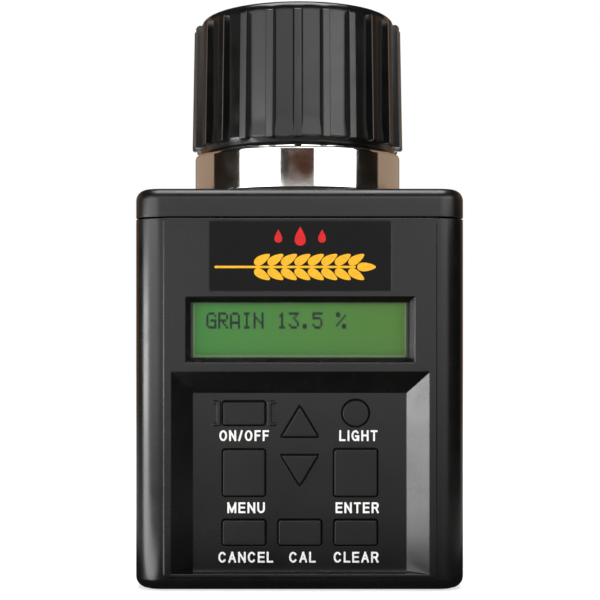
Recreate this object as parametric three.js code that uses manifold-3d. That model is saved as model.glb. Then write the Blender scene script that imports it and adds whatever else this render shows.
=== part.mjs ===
// Hand-held grain moisture meter, in millimetres, +Z up.
// The origin is the middle of the base. The display and the keys face -Y, and the battery door faces +Y.
// A steel test cell stands in the top of a two-shell case. A ribbed screw cap closes the cell, and a sprung
// pressure plate in the cap packs the grain, so that the pin in the cap comes up level with its top.
import * as THREE from "three";
import { mergeVertices } from "three/addons/utils/BufferGeometryUtils.js";
import Module from "manifold-3d";

const wasm = await Module();
wasm.setup();

// ---------------------------------------------------------------- driving dimensions

const gap = 0.3; // between pieces that meet

// The case is as deep as the cell's neck needs, with a shelf of its top in front of the neck and behind it.
const caseSize = { width: 99, shelf: 4.1, height: 120, corner: 8, edge: 3.3, wall: 2.6 };
const seam = { drop: 8.9, groove: 0.4, lipHeight: 3.6, lipWall: 1.6 };
const panel = { margin: 8.9, bottom: 3.9, proud: 0.5 };
const splitY = 0; // where the front and back shells meet

const cell = {
  boreR: 25.4, wall: 2, neckFlange: 5.5, neckHeight: 12.9, neckChamfer: 0.8,
  spigotInset: 0.1, spigotHeight: 15.4, depth: 47.6, baseThick: 4, flangeThick: 2.9,
};
const gasket = { thick: 0.6, clear: 0.6, inset: 0.7 };
const thread = { lead: 6, starts: 2, height: 1.2, turns: 1.75, rootWidth: 1.5, crestWidth: 0.9, clear: 0.35 };
const electrode = { r: 6.35, height: 22, studR: 2.6, nutFlats: 8, nutHeight: 3.6, lugThick: 0.6 };
const probe = { r: 1.5, rise: 6, tail: 9, offset: 17 };
const lockRing = { width: 3.9, height: 4.2, notches: 6, notchWidth: 5, notchDepth: 1.6 };

const cap = {
  clear: 0.4, wall: 2.8, lean: 0.5, height: 43.4, shoulder: 3.2, lipChamfer: 1.2, clearNeck: 0.4,
  ribs: 24, ribWidth: 2.2, ribLow: 2.2, ribTop: 2, ribStart: 1.6, ribStop: 3, crown: 4.9,
};
const plunger = {
  plateClear: 0.7, plateThick: 4.5, hubR: 7, hubHeight: 4.5, stemR: 4, headR: 7.9, headThick: 1.6,
  sunk: 3.2, travel: 4, seatThick: 3.6, plateDrop: 36, coneDepth: 1.2,
};
const spring = { r: 9.6, wireR: 1.1, turns: 5 };
const washer = { outerR: 12.6, thick: 1.2 };

const well = { side: 2.1, top: 65.2, bottom: 5, depth: 5.4, bevel: 6.45, wall: 2 };
const key = { proud: 1.2, flange: 1, flangeThick: 0.9, fit: 0.35, travel: 1, cavityR: 2.1, cavityDepth: 2.6 };
const mat = { halfWidth: 30.5, thick: 1.2, domeR: 1.6, domeHeight: 2.4, stop: 0.5 };
const guard = { width: 2.2, height: 7.3, space: 1 };

const display = { z: 77.6, width: 64.8, height: 16.4, sillWidth: 68.3, sillHeight: 19.6, chamfer: 1.5 };
const lens = { width: 69, height: 20.4, thick: 1.2 };
const lcd = { frameWidth: 71.4, frameHeight: 26.8, frameDepth: 7.2, skin: 0.7, glassThick: 2.8, setBack: 5 };
const board = { width: 72, bottom: 5.6, top: 58.4, thick: 1.6 };
const lcdBoard = { width: 80, height: 36, holeX: 37.5, holeZ: 15.5 };
const smallScrew = { headR: 2.2, headThick: 1.4, shankR: 1, length: 7, sides: 8 };

const label = { width: 53.8, height: 20.5, drop: 11.55, thick: 0.3, sink: 0.3 };

const caseScrew = { inset: 6.8, low: 9, drop: 10.1, postR: 4.3, headR: 3, headThick: 2.2, shankR: 1.4, length: 23, sides: 12 };
const screwSeat = { holeR: 3.4, y: 14, floor: 2.5, clearR: 1.8, pilotR: 1.7, lug: 3 };

const battery = { length: 48.5, height: 26.5, depth: 17.5, terminalR: 3.2, terminalHeight: 3 };
const bay = { halfWidth: 29.2, bottom: 16.2, height: 28.1, wall: 1.6, spare: 2.5 };
const wire = { r: 0.7, step: 2.78, cellStep: 3.41 };
const gate = { x: 26.5, z: 30, width: 3.8, height: 7 }; // where the battery's wires leave the bay
const door = { rebate: 1.3, thick: 2.1, clear: 0.3, tabWidth: 8, tabX: 18, tabThick: 1.5, tabReach: 1.9 };

// ---------------------------------------------------------------- worked-out places

const cupR = cell.boreR + cell.wall;
const neckR = cupR + cell.neckFlange;
const spigotR = cupR - cell.spigotInset;
const crestR = spigotR + thread.height;
const capBoreR = crestR + cap.clear;
const capLipR = capBoreR + cap.wall;
const capTopR = capLipR - cap.lean;
const plateR = cell.boreR - plunger.plateClear;

const caseDepth = 2 * (neckR + caseSize.shelf);
const frontY = -caseDepth / 2; // the front panel's face
const shellFrontY = frontY + panel.proud; // the case's face round the panel
const backY = caseDepth / 2;
const innerFrontY = shellFrontY + caseSize.wall;
const innerBackY = backY - caseSize.wall;
const sideX = caseSize.width / 2;
const panelHalf = sideX - panel.margin;
const wellHalf = panelHalf - well.side;
const postX = sideX - caseScrew.inset;
const seamZ = caseSize.height - seam.drop;
const postTop = seamZ - caseScrew.drop; // the height of the upper case screws
const labelZ = seamZ - label.drop;
const coverWall = 3;

const neckBottom = caseSize.height + gasket.thick + 0.1;
const neckTop = neckBottom + cell.neckHeight;
const rim = neckTop + cell.spigotHeight;
const cellBottom = rim - cell.depth;
const cellFloor = cellBottom + cell.baseThick - 0.2;
const flangeBottom = cellBottom - gap - cell.flangeThick;

const capBottom = neckTop + cap.clearNeck;
const capTop = capBottom + cap.height;
const headBottom = capTop - plunger.sunk - plunger.headThick;
const headSeat = headBottom - gap;
const bossBottom = headSeat - plunger.seatThick;
const washerTop = bossBottom - gap;
const washerBottom = washerTop - washer.thick;
const plateBottom = headBottom - plunger.plateDrop;
const plateTop = plateBottom + plunger.plateThick;

const floorY = frontY + well.depth; // the keypad plate's face
const floorBackY = floorY + well.wall;
const wellFloorTop = well.top - well.bevel;
const keyFlangeY = floorBackY + 0.2;
const keyBackY = keyFlangeY + key.flangeThick;
const matY = keyBackY + key.travel + mat.stop;
const boardY = matY + mat.thick + gap;

const lcdY = frontY + lcd.setBack;
const lcdBoardY = lcdY + lcd.frameDepth + 0.2;

const boardScrewX = board.width / 2 - 2.6;
const boardScrewZ = [board.bottom + 3.4, board.top - 3.4];

// Key outlines by name: the middle of each key on the keypad plate, and its size.
const columnX = 16.8;
const keys = [
  { name: "power_key", x: -columnX, z: 52.6, width: 12.5, height: 6.9 },
  { name: "light_key", x: columnX, z: 52.6, round: 3.9 },
  { name: "menu_key", x: -columnX, z: 34.7, width: 12.5, height: 13.8 },
  { name: "enter_key", x: columnX, z: 34.7, width: 12.8, height: 14 },
  { name: "up_key", x: 0, z: 50.1, arrow: 1, width: 10.8, height: 9 },
  { name: "down_key", x: 0, z: 35.4, arrow: -1, width: 10.8, height: 9 },
  { name: "cancel_key", x: -columnX, z: 16.7, width: 12.7, height: 7.4 },
  { name: "calibrate_key", x: 0, z: 16.7, width: 12.7, height: 7.4 },
  { name: "clear_key", x: columnX, z: 16.7, width: 12.7, height: 7.4 },
];

// ---------------------------------------------------------------- materials

const finish = (color, roughness, metalness = 0) =>
  new THREE.MeshStandardMaterial({ color, roughness, metalness });
const materials = {
  casePlastic: finish(0x3a3938, 0.55),
  capPlastic: finish(0x262524, 0.35),
  keyRubber: finish(0x2c2b2b, 0.7),
  matRubber: finish(0x3c3d3f, 0.8),
  steel: finish(0xc9c7c2, 0.12, 1),
  zinc: finish(0x9a9c9e, 0.35, 1),
  springSteel: finish(0x8f9194, 0.3, 1),
  acetal: finish(0xe6e4dc, 0.5),
  gasketRubber: finish(0x1a1a1a, 0.8),
  printed: finish(0x17131a, 0.4),
  clear: new THREE.MeshStandardMaterial({ color: 0xf4f8f6, roughness: 0.05, transparent: true, opacity: 0.3 }),
  lcdGreen: finish(0x4f9a45, 0.35),
  lightGuide: finish(0xdfe6d8, 0.4),
  blackMetal: finish(0x111111, 0.4, 0.6),
  boardGreen: finish(0x1f5a34, 0.5),
  chipBlack: finish(0x161616, 0.6),
  batteryCase: finish(0x5b5f66, 0.4, 0.4),
  redWire: finish(0xa8201c, 0.5),
  blackWire: finish(0x151515, 0.5),
};

// ---------------------------------------------------------------- solid tools

// A closed geometry as a solid that can be joined and cut.
function solid(geometry) {
  const bare = geometry.index ? geometry.toNonIndexed() : geometry.clone();
  for (const name of Object.keys(bare.attributes)) {
    if (name !== "position") bare.deleteAttribute(name);
  }
  const merged = mergeVertices(bare, 1e-4);
  const mesh = new wasm.Mesh({
    numProp: 3,
    vertProperties: merged.attributes.position.array,
    triVerts: new Uint32Array(merged.index.array),
  });
  return new wasm.Manifold(mesh);
}

const join = (first, ...others) => others.reduce((sum, next) => sum.add(next), first);
const cut = (first, ...others) => others.reduce((rest, next) => rest.subtract(next), first);

// A named mesh of a solid, added to a group.
function piece(name, made, material, parent) {
  const mesh = made.getMesh();
  const places = new Float32Array(mesh.numVert * 3);
  for (let i = 0; i < mesh.numVert; i++) {
    places.set(mesh.vertProperties.subarray(i * mesh.numProp, i * mesh.numProp + 3), i * 3);
  }
  const geometry = new THREE.BufferGeometry();
  geometry.setAttribute("position", new THREE.BufferAttribute(places, 3));
  geometry.setIndex(new THREE.BufferAttribute(mesh.triVerts, 1));
  const shown = new THREE.Mesh(geometry, material);
  shown.name = name;
  parent.add(shown);
  return shown;
}

function box(x0, x1, y0, y1, z0, z1) {
  const geometry = new THREE.BoxGeometry(x1 - x0, y1 - y0, z1 - z0);
  return solid(geometry.translate((x0 + x1) / 2, (y0 + y1) / 2, (z0 + z1) / 2));
}

// A box whose front face (low y) and back face (high y) differ: each is [x0, x1, z0, z1].
function taperedBox(front, back, y0, y1) {
  const geometry = new THREE.BoxGeometry(2, 2, 2);
  const place = geometry.attributes.position;
  for (let i = 0; i < place.count; i++) {
    const face = place.getY(i) < 0 ? front : back;
    const x = place.getX(i) < 0 ? face[0] : face[1];
    const z = place.getZ(i) < 0 ? face[2] : face[3];
    place.setXYZ(i, x, place.getY(i) < 0 ? y0 : y1, z);
  }
  return solid(geometry);
}

// A solid turned about Z. The outline is [radius, height] points, anticlockwise with radius to the right.
function turned(outline, segments = 36) {
  const points = outline.map(([r, z]) => new THREE.Vector2(r, z));
  return solid(new THREE.LatheGeometry(points, segments).rotateX(Math.PI / 2));
}

function disc(r, z0, z1, segments = 36) {
  return turned([[0, z0], [r, z0], [r, z1], [0, z1]], segments);
}

function ring(innerR, outerR, z0, z1, segments = 36) {
  return turned([[innerR, z0], [outerR, z0], [outerR, z1], [innerR, z1], [innerR, z0]], segments);
}

// A round bar along Y, from y0 to y1.
function barY(r, x, z, y0, y1, segments = 16) {
  const geometry = new THREE.CylinderGeometry(r, r, y1 - y0, segments);
  return solid(geometry.translate(x, (y0 + y1) / 2, z));
}

function barZ(r, x, y, z0, z1, segments = 16) {
  return disc(r, z0, z1, segments).translate(x, y, 0);
}

function roundedRectangle(width, height, r) {
  const shape = new THREE.Shape();
  const [x, y] = [width / 2, height / 2];
  shape.moveTo(-x + r, -y);
  shape.lineTo(x - r, -y);
  shape.absarc(x - r, -y + r, r, -Math.PI / 2, 0);
  shape.lineTo(x, y - r);
  shape.absarc(x - r, y - r, r, 0, Math.PI / 2);
  shape.lineTo(-x + r, y);
  shape.absarc(-x + r, y - r, r, Math.PI / 2, Math.PI);
  shape.lineTo(-x, -y + r);
  shape.absarc(-x + r, -y + r, r, Math.PI, Math.PI * 1.5);
  shape.closePath();
  return shape;
}

// A flat outline in x and z, made thick from y0 to y1.
function plateY(shape, x, z, y0, y1, curveSegments = 2) {
  const geometry = new THREE.ExtrudeGeometry(shape, { depth: y1 - y0, bevelEnabled: false, curveSegments });
  return solid(geometry.rotateX(Math.PI / 2).translate(x, y1, z));
}

// A tube of a few sides along a curve.
function tube(curve, r, sides, steps) {
  const section = new THREE.Shape();
  for (let i = 0; i < sides; i++) {
    const turn = (i / sides) * Math.PI * 2;
    section[i ? "lineTo" : "moveTo"](r * Math.cos(turn), r * Math.sin(turn));
  }
  section.closePath();
  return solid(new THREE.ExtrudeGeometry(section, { steps, extrudePath: curve, bevelEnabled: false }));
}

class Helix extends THREE.Curve {
  constructor(r, low, high, turns) {
    super();
    Object.assign(this, { r, low, high, turns });
  }
  getPoint(t, target = new THREE.Vector3()) {
    const turn = t * this.turns * Math.PI * 2;
    const z = this.low + t * (this.high - this.low);
    return target.set(this.r * Math.cos(turn), this.r * Math.sin(turn), z);
  }
}

// Enough flats to a turn that the inner ridges' flats stay clear of the spigot inside them.
const threadFlats = Math.ceil(Math.PI / Math.acos(spigotR / (spigotR + thread.clear)));

// One screw-thread ridge: a four-cornered section swept round Z while it climbs by the lead in each turn.
function threadRidge(rootR, crestR, startZ, startTurn) {
  const perTurn = threadFlats;
  const steps = Math.round(thread.turns * perTurn);
  const [root, crest] = [thread.rootWidth / 2, thread.crestWidth / 2];
  const section = [[rootR, -root], [crestR, -crest], [crestR, crest], [rootR, root]];
  if (crestR < rootR) section.reverse();
  const places = [];
  const faces = [];
  for (let i = 0; i <= steps; i++) {
    const turn = startTurn + (i / perTurn) * Math.PI * 2;
    const rise = startZ + (i / perTurn) * thread.lead;
    for (const [r, z] of section) places.push(r * Math.cos(turn), r * Math.sin(turn), z + rise);
  }
  for (let i = 0; i < steps; i++) {
    for (let j = 0; j < 4; j++) {
      const [a, b] = [i * 4 + j, i * 4 + ((j + 1) % 4)];
      faces.push(a, a + 4, b, b, a + 4, b + 4);
    }
  }
  const end = steps * 4;
  faces.push(0, 1, 2, 0, 2, 3, end, end + 2, end + 1, end, end + 3, end + 2);
  const geometry = new THREE.BufferGeometry();
  geometry.setAttribute("position", new THREE.Float32BufferAttribute(places, 3));
  geometry.setIndex(faces);
  return solid(geometry);
}

// The threads of one side of the screw joint, one ridge for each start.
function threads(rootR, crestR, startZ, turnOffset) {
  const ridges = [];
  for (let i = 0; i < thread.starts; i++) {
    ridges.push(threadRidge(rootR, crestR, startZ, turnOffset + (i / thread.starts) * Math.PI * 2));
  }
  return ridges;
}

// ---------------------------------------------------------------- case

// The whole case outside, with every edge rounded, grown or shrunk by an offset.
function caseBlock(offset, height) {
  const width = caseSize.width + 2 * offset;
  const depth = caseDepth - panel.proud + 2 * offset;
  const edge = Math.max(caseSize.edge + offset, 0.6);
  const shape = roundedRectangle(width, depth, caseSize.corner + offset);
  const geometry = new THREE.ExtrudeGeometry(shape, {
    depth: height + 2 * offset - 2 * edge,
    bevelThickness: edge, bevelSize: edge, bevelOffset: -edge, bevelSegments: 3, curveSegments: 3,
  });
  return solid(geometry.translate(0, panel.proud / 2, edge - offset));
}

// The case's plan, grown or shrunk by an offset, as a straight-sided block between two heights.
function plan(offset, z0, z1) {
  const depth = caseDepth - panel.proud + 2 * offset;
  const shape = roundedRectangle(caseSize.width + 2 * offset, depth, caseSize.corner + offset);
  const geometry = new THREE.ExtrudeGeometry(shape, { depth: z1 - z0, bevelEnabled: false, curveSegments: 3 });
  return solid(geometry.translate(0, panel.proud / 2, z0));
}

const caseOutside = caseBlock(0, caseSize.height);
const caseInside = caseBlock(-caseSize.wall, caseSize.height);
const big = 2 * caseSize.height;

// Everything of the case between two heights, and in front of or behind the split.
const slab = (z0, z1) => box(-big, big, -big, big, z0, z1);
const frontHalf = box(-big, big, -big, splitY - gap / 2, -big, big);
const backHalf = box(-big, big, splitY + gap / 2, big, -big, big);

const seamLow = seamZ - seam.groove / 2;
const seamHigh = seamZ + seam.groove / 2;

// The key's outline, grown by an offset.
function keyOutline(k, offset) {
  if (k.round) return new THREE.Shape().absarc(0, 0, k.round + offset, 0, Math.PI * 2);
  if (!k.arrow) return roundedRectangle(k.width + 2 * offset, k.height + 2 * offset, 0.6 + offset);
  // A triangle grown by the offset on each side, with its middle at a third of its height.
  const slope = Math.atan2(k.height, k.width / 2);
  const grow = offset / Math.tan(slope / 2);
  const [half, low] = [k.width / 2 + grow, -k.height / 2 - offset];
  const high = low + half * Math.tan(slope);
  const shape = new THREE.Shape();
  shape.moveTo(-half, k.arrow * low);
  shape.lineTo(half, k.arrow * low);
  shape.lineTo(0, k.arrow * high);
  shape.closePath();
  return shape;
}

const keyCurve = (k) => (k.round ? 10 : 1);

// The dome's middle under a key: an arrow's is nearer its base.
const domeZ = (k) => k.z - (k.arrow ? k.arrow * k.height / 6 : 0);

const wellFace = (grow) => [-wellHalf - grow, wellHalf + grow, well.bottom - grow, well.top + grow];
const wellFloor = (grow) => {
  const half = wellHalf - well.bevel + grow;
  return [-half, half, well.bottom - grow, wellFloorTop + grow];
};

// A straight continuation of the well's slopes to a plane in front of or behind its two rims.
function wellBlock(grow, y0, y1) {
  const slope = well.bevel / well.depth;
  const at = (y) => {
    const inset = (y - frontY) * slope;
    const face = wellFace(grow);
    return [face[0] + inset, face[1] - inset, face[2], face[3] - inset];
  };
  return taperedBox(at(y0), at(y1), y0, y1);
}

const postPlaces = [caseScrew.low, postTop].flatMap((z) => [[-postX, z], [postX, z]]);
const lcdHoles = [-1, 1].flatMap((sz) => [-1, 1].map((sx) => [sx * lcdBoard.holeX, display.z + sz * lcdBoard.holeZ]));
const boardHoles = boardScrewZ.flatMap((z) => [[-boardScrewX, z], [boardScrewX, z]]);

// The upper posts stop short of the split, where the cover's lugs stand between them.
const lugGap = (z) => (z === postTop ? screwSeat.lug / 2 + gap : gap / 2);

function frontShell() {
  const over = 1;
  const panelHeight = seamLow - panel.bottom;
  const panelShape = roundedRectangle(2 * panelHalf, panelHeight, 1);
  let shell = cut(caseOutside, caseInside).intersect(slab(-over, seamLow)).intersect(frontHalf);
  shell = join(shell, plateY(panelShape, 0, panel.bottom + panelHeight / 2, frontY, innerFrontY));
  // The keypad well, bevelled on three sides, in a tub of its own wall.
  shell = join(shell, wellBlock(well.wall, innerFrontY - over, floorBackY));
  shell = shell.intersect(slab(0, big));
  const posts = postPlaces.map(([x, z]) => barY(caseScrew.postR, x, z, innerFrontY - 0.5, splitY - lugGap(z), 12));
  const lcdPosts = lcdHoles.map(([x, z]) => barY(2.6, x, z, innerFrontY - 0.5, lcdBoardY - 0.1, 10));
  const boardPosts = boardHoles.map(([x, z]) => barY(2.4, x, z, innerFrontY, boardY - 0.1, 10));
  shell = join(shell, ...posts, ...lcdPosts, ...boardPosts);
  shell = cut(shell, wellBlock(0, frontY - over, floorY + 1e-3));
  // The display window, with a chamfered sill.
  const [sillX, sillZ] = [display.sillWidth / 2, display.sillHeight / 2];
  const inner = (n) => n - display.chamfer;
  const rect = (x, z) => [-x, x, display.z - z, display.z + z];
  const sill = taperedBox(
    rect(sillX + over, sillZ + over), rect(inner(sillX), inner(sillZ)), frontY - over, frontY + display.chamfer,
  );
  const [throatX, throatZ] = [inner(sillX), inner(sillZ)];
  const throat = box(-throatX, throatX, frontY, innerFrontY + over, display.z - throatZ, display.z + throatZ);
  shell = cut(shell, sill, throat);
  // Key openings, the guards beside the power key, and the label's pocket.
  const openings = keys.map((k) => plateY(keyOutline(k, key.fit), k.x, k.z, floorY - over, floorBackY + over, keyCurve(k)));
  const power = keys[0];
  const guardX = power.width / 2 + guard.space + guard.width / 2;
  const guardShape = roundedRectangle(guard.width, guard.height, 0.7);
  const guards = [-1, 1].map((side) =>
    plateY(guardShape, power.x + side * guardX, power.z, floorY - key.proud, floorY + 0.5),
  );
  const labelPocket = plateY(
    roundedRectangle(label.width + gap, label.height + gap, 0.6), 0, labelZ, frontY - over, frontY + label.sink,
  );
  shell = join(cut(shell, ...openings, labelPocket), ...guards);
  const pilots = postPlaces.map(([x, z]) => barY(screwSeat.pilotR, x, z, splitY - 12, splitY + over, 10));
  const small = [...lcdHoles.map(([x, z]) => [x, z, lcdBoardY]), ...boardHoles.map(([x, z]) => [x, z, boardY])];
  const smallPilots = small.map(([x, z, y]) =>
    barY(smallScrew.shankR + gap, x, z, y - (smallScrew.length - board.thick) - 0.2, y + over, 8),
  );
  return cut(shell, ...pilots, ...smallPilots);
}

const bayTop = bay.bottom + bay.height;
const bayFrontY = innerBackY - (battery.depth + bay.spare + 0.5);

function backShell() {
  const over = 1;
  let shell = cut(caseOutside, caseInside).intersect(slab(-over, seamLow)).intersect(backHalf);
  const posts = postPlaces.map(([x, z]) => barY(caseScrew.postR, x, z, splitY + lugGap(z), backY - 1, 12));
  const w = bay.wall;
  const tub = box(
    -bay.halfWidth - w, bay.halfWidth + w, bayFrontY - w, backY - 1, bay.bottom - w, bayTop + w,
  );
  shell = join(shell, ...posts, tub);
  const hollow = box(-bay.halfWidth, bay.halfWidth, bayFrontY, backY + over, bay.bottom, bayTop);
  const r = door.rebate;
  const rebate = box(
    -bay.halfWidth - r, bay.halfWidth + r, backY - door.thick - 0.1, backY + over, bay.bottom - r, bayTop + r,
  );
  const doorTabSlots = [-1, 1].map((side) => {
    const half = door.tabWidth / 2 + gap;
    const x = side * door.tabX;
    const low = bay.bottom - bay.wall - over;
    return box(x - half, x + half, backY - 5.4, backY - caseSize.wall - 0.1, low, bay.bottom + over);
  });
  // A notch for the thumb above the door, a gate for the battery's wires, and the rating label's flat.
  const thumb = barY(7, 0, bayTop + door.rebate, backY - 1.1, backY + over, 24);
  const [gateX, gateZ] = [gate.width / 2, gate.height / 2];
  const wireGate = box(
    gate.x - gateX, gate.x + gateX, bayFrontY - 2 * bay.wall, bayFrontY + over, gate.z - gateZ, gate.z + gateZ,
  );
  const ratingFlat = plateY(roundedRectangle(56, 34, 2), 0, 77, backY - 0.4, backY + over);
  const heads = postPlaces.map(([x, z]) => barY(screwSeat.holeR, x, z, screwSeat.y, backY + over, 14));
  const clears = postPlaces.map(([x, z]) => barY(screwSeat.clearR, x, z, splitY - over, screwSeat.y + over, 10));
  return cut(shell, hollow, rebate, ...doorTabSlots, thumb, wireGate, ratingFlat, ...heads, ...clears);
}

function topCover() {
  const over = 1;
  let cover = caseOutside.intersect(slab(seamHigh, big));
  cover = cut(cover, caseInside.intersect(slab(0, caseSize.height - coverWall)));
  // A lip that stands inside the two shells, and lugs that the upper case screws pass through.
  const ceiling = caseSize.height - coverWall + 0.1;
  const lipInside = plan(-caseSize.wall - gap - seam.lipWall, seamZ - seam.lipHeight - over, ceiling + over);
  const lipLow = plan(-caseSize.wall - gap, seamZ - seam.lipHeight, seamHigh + 0.3);
  const lipHigh = plan(0.2 - caseSize.wall, seamHigh, ceiling);
  const lip = cut(join(lipLow, lipHigh), lipInside);
  const lugTop = seamHigh + 2;
  const lugs = [-1, 1].map((side) => {
    const x = side * postX;
    const reach = caseScrew.postR - 0.7;
    const [a, b] = [x - reach, x + reach];
    return box(a, b, -screwSeat.lug / 2, screwSeat.lug / 2, postTop - reach, lugTop);
  });
  cover = join(cover, lip, ...lugs);
  const holes = [-1, 1].map((side) =>
    barY(screwSeat.clearR, side * postX, postTop, -screwSeat.lug, screwSeat.lug, 10),
  );
  return cut(cover, disc(cupR + gap, seamZ, caseSize.height + over), ...holes);
}

// A cross-head screw along Y. Its head faces +Y, and y is the seat under the head.
function screwY(x, z, y, size) {
  const head = barY(size.headR, x, z, y, y + size.headThick, size.sides);
  const shank = barY(size.shankR, x, z, y - size.length, y + 0.1, size.sides);
  const [long, short] = [size.headR * 0.62, size.headR * 0.13];
  const top = y + size.headThick;
  const low = y + size.headThick * 0.5;
  const across = box(x - long, x + long, low, top + 1, z - short, z + short);
  const upright = box(x - short, x + short, low, top + 1, z - long, z + long);
  return cut(join(head, shank), across, upright);
}

// ---------------------------------------------------------------- keypad

function keyTop(k) {
  const top = plateY(keyOutline(k, 0), k.x, k.z, floorY - key.proud, keyFlangeY + 0.1, keyCurve(k));
  const flange = plateY(keyOutline(k, key.flange), k.x, k.z, keyFlangeY, keyBackY, keyCurve(k));
  const cavity = barY(key.cavityR, k.x, domeZ(k), keyBackY - key.cavityDepth, keyBackY + 1, 12);
  return cut(join(top, flange), cavity);
}

function keypadMat() {
  const [low, high] = [board.bottom + 1, board.top - 0.6];
  const shape = roundedRectangle(2 * mat.halfWidth, high - low, 1);
  const sheet = plateY(shape, 0, (low + high) / 2, matY, matY + mat.thick);
  const domes = keys.map((k) => {
    const cone = new THREE.CylinderGeometry(mat.domeR, mat.domeR * 0.7, mat.domeHeight + 0.2, 10);
    return solid(cone.translate(k.x, matY - mat.domeHeight / 2 + 0.1, domeZ(k)));
  });
  return join(sheet, ...domes);
}

// ---------------------------------------------------------------- display

const displayBox = (width, height, y0, y1) =>
  box(-width / 2, width / 2, y0, y1, display.z - height / 2, display.z + height / 2);

function lcdFrame() {
  const skin = lcd.skin;
  const block = displayBox(lcd.frameWidth, lcd.frameHeight, lcdY, lcdBoardY - 0.2);
  const inside = displayBox(lcd.frameWidth - 2 * skin, lcd.frameHeight - 2 * skin, lcdY + skin, lcdBoardY + 1);
  return cut(block, inside, displayBox(display.width, display.height, lcdY - 1, lcdY + 1));
}

function circuitBoard(width, low, high, y, holes) {
  const shape = roundedRectangle(width, high - low, 1);
  const sheet = plateY(shape, 0, (low + high) / 2, y, y + board.thick);
  return cut(sheet, ...holes.map(([x, z]) => barY(smallScrew.shankR + gap, x, z, y - 1, y + board.thick + 1, 8)));
}

// ---------------------------------------------------------------- test cell

function cellCup() {
  const c = cell.neckChamfer;
  const cup = turned([
    [cell.boreR, cellBottom], [cupR, cellBottom], [cupR, neckBottom],
    [neckR - c / 2, neckBottom], [neckR, neckBottom + c / 2],
    [neckR, neckTop - c], [neckR - c, neckTop], [spigotR, neckTop],
    [spigotR, rim - 0.5], [spigotR - 0.5, rim], [cell.boreR + 0.5, rim], [cell.boreR, rim - 0.5],
    [cell.boreR, cellBottom],
  ]);
  return join(cup, ...threads(spigotR - 0.5, crestR, neckTop + 2.4, 0));
}

function cellBase() {
  const plugR = cell.boreR - gap;
  const base = turned([
    [0, flangeBottom], [cupR, flangeBottom], [cupR, cellBottom - gap], [plugR, cellBottom - gap],
    [plugR, cellFloor], [0, cellFloor],
  ]);
  const studHole = barZ(electrode.studR + gap, 0, 0, flangeBottom - 1, cellFloor + 1, 12);
  const probeHole = barZ(probe.r + gap, probe.offset, 0, flangeBottom - 1, cellFloor + 1, 12);
  return cut(base, studHole, probeHole);
}

const nutTop = flangeBottom - 2 * gap - electrode.lugThick;
const nutBottom = nutTop - electrode.nutHeight;
const postBottom = cellFloor + gap;

function centreElectrode() {
  const { r, height, studR } = electrode;
  const top = postBottom + height;
  const dome = [0, 1, 2, 3, 4].map((i) => {
    const turn = (i / 4) * (Math.PI / 2);
    return [r * Math.cos(turn), top - r * 0.55 + r * 0.55 * Math.sin(turn)];
  });
  dome[4][0] = 0;
  return turned([
    [0, nutBottom - 1.5], [studR, nutBottom - 1.5], [studR, postBottom], [r, postBottom], ...dome,
  ], 24);
}

function hexNut() {
  const nut = disc(electrode.nutFlats / Math.sqrt(3), nutBottom, nutTop, 6);
  return cut(nut, disc(electrode.studR + gap, nutBottom - 1, nutTop + 1, 12));
}

function solderLug() {
  const low = nutTop + gap;
  const high = low + electrode.lugThick;
  const eye = disc(4.6, low, high, 16);
  const tail = box(-2, 2, -10, -3, low, high);
  return cut(join(eye, tail), disc(electrode.studR + gap, low - 1, high + 1, 12));
}

function temperatureProbe() {
  const { r, rise, tail } = probe;
  const low = cellFloor - tail;
  const high = cellFloor + rise;
  const pin = turned([[0, low], [r, low], [r, high - r], [r * 0.7, high - r * 0.3], [0, high]], 12);
  return pin.translate(probe.offset, 0, 0);
}

function lockingRing() {
  const top = caseSize.height - coverWall - gap;
  const low = top - lockRing.height;
  const outer = cupR + gap + lockRing.width;
  const notches = [];
  for (let i = 0; i < lockRing.notches; i++) {
    const half = lockRing.notchWidth / 2;
    const notch = box(outer - lockRing.notchDepth, outer + 1, -half, half, low - 1, top + 1);
    notches.push(notch.rotate([0, 0, (i * 360) / lockRing.notches]));
  }
  return cut(ring(cupR + gap, outer, low, top), ...notches);
}

// ---------------------------------------------------------------- cap

function capShell() {
  const s = cap.shoulder;
  const shoulder = [0, 1, 2, 3, 4].map((i) => {
    const turn = (i / 4) * (Math.PI / 2);
    return [capTopR - s + s * Math.cos(turn), capTop - s + s * Math.sin(turn)];
  });
  const pocketR = plunger.headR + gap + 0.1;
  const stemHole = plunger.stemR + gap;
  const crown = capTop - cap.crown;
  const bossR = pocketR + 2.4;
  const body = turned([
    [capBoreR, capBottom], [capLipR - cap.lipChamfer, capBottom], [capLipR, capBottom + cap.lipChamfer],
    ...shoulder,
    [pocketR, capTop], [pocketR, headSeat], [stemHole, headSeat], [stemHole, bossBottom], [bossR, bossBottom],
    [bossR, crown], [capBoreR, crown], [capBoreR, capBottom],
  ]);
  const low = capBottom + cap.ribStart;
  const high = capTop - cap.ribStop;
  const half = cap.ribWidth / 2;
  const ribs = [];
  for (let i = 0; i < cap.ribs; i++) {
    const inner = capTopR - 1;
    // Each rib leans in with the cap's draft: a box in x whose top is nearer the axis than its foot.
    const rib = taperedBox([inner, capLipR + cap.ribLow, -half, half], [inner, capTopR + cap.ribTop, -half, half], low, high);
    ribs.push(rib.rotate([90, 0, 0]).rotate([0, 0, (i * 360) / cap.ribs]));
  }
  const inside = threads(capBoreR + 0.5, spigotR + thread.clear, neckTop + 2.4, Math.PI / thread.starts);
  return join(body, ...ribs, ...inside);
}

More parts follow.
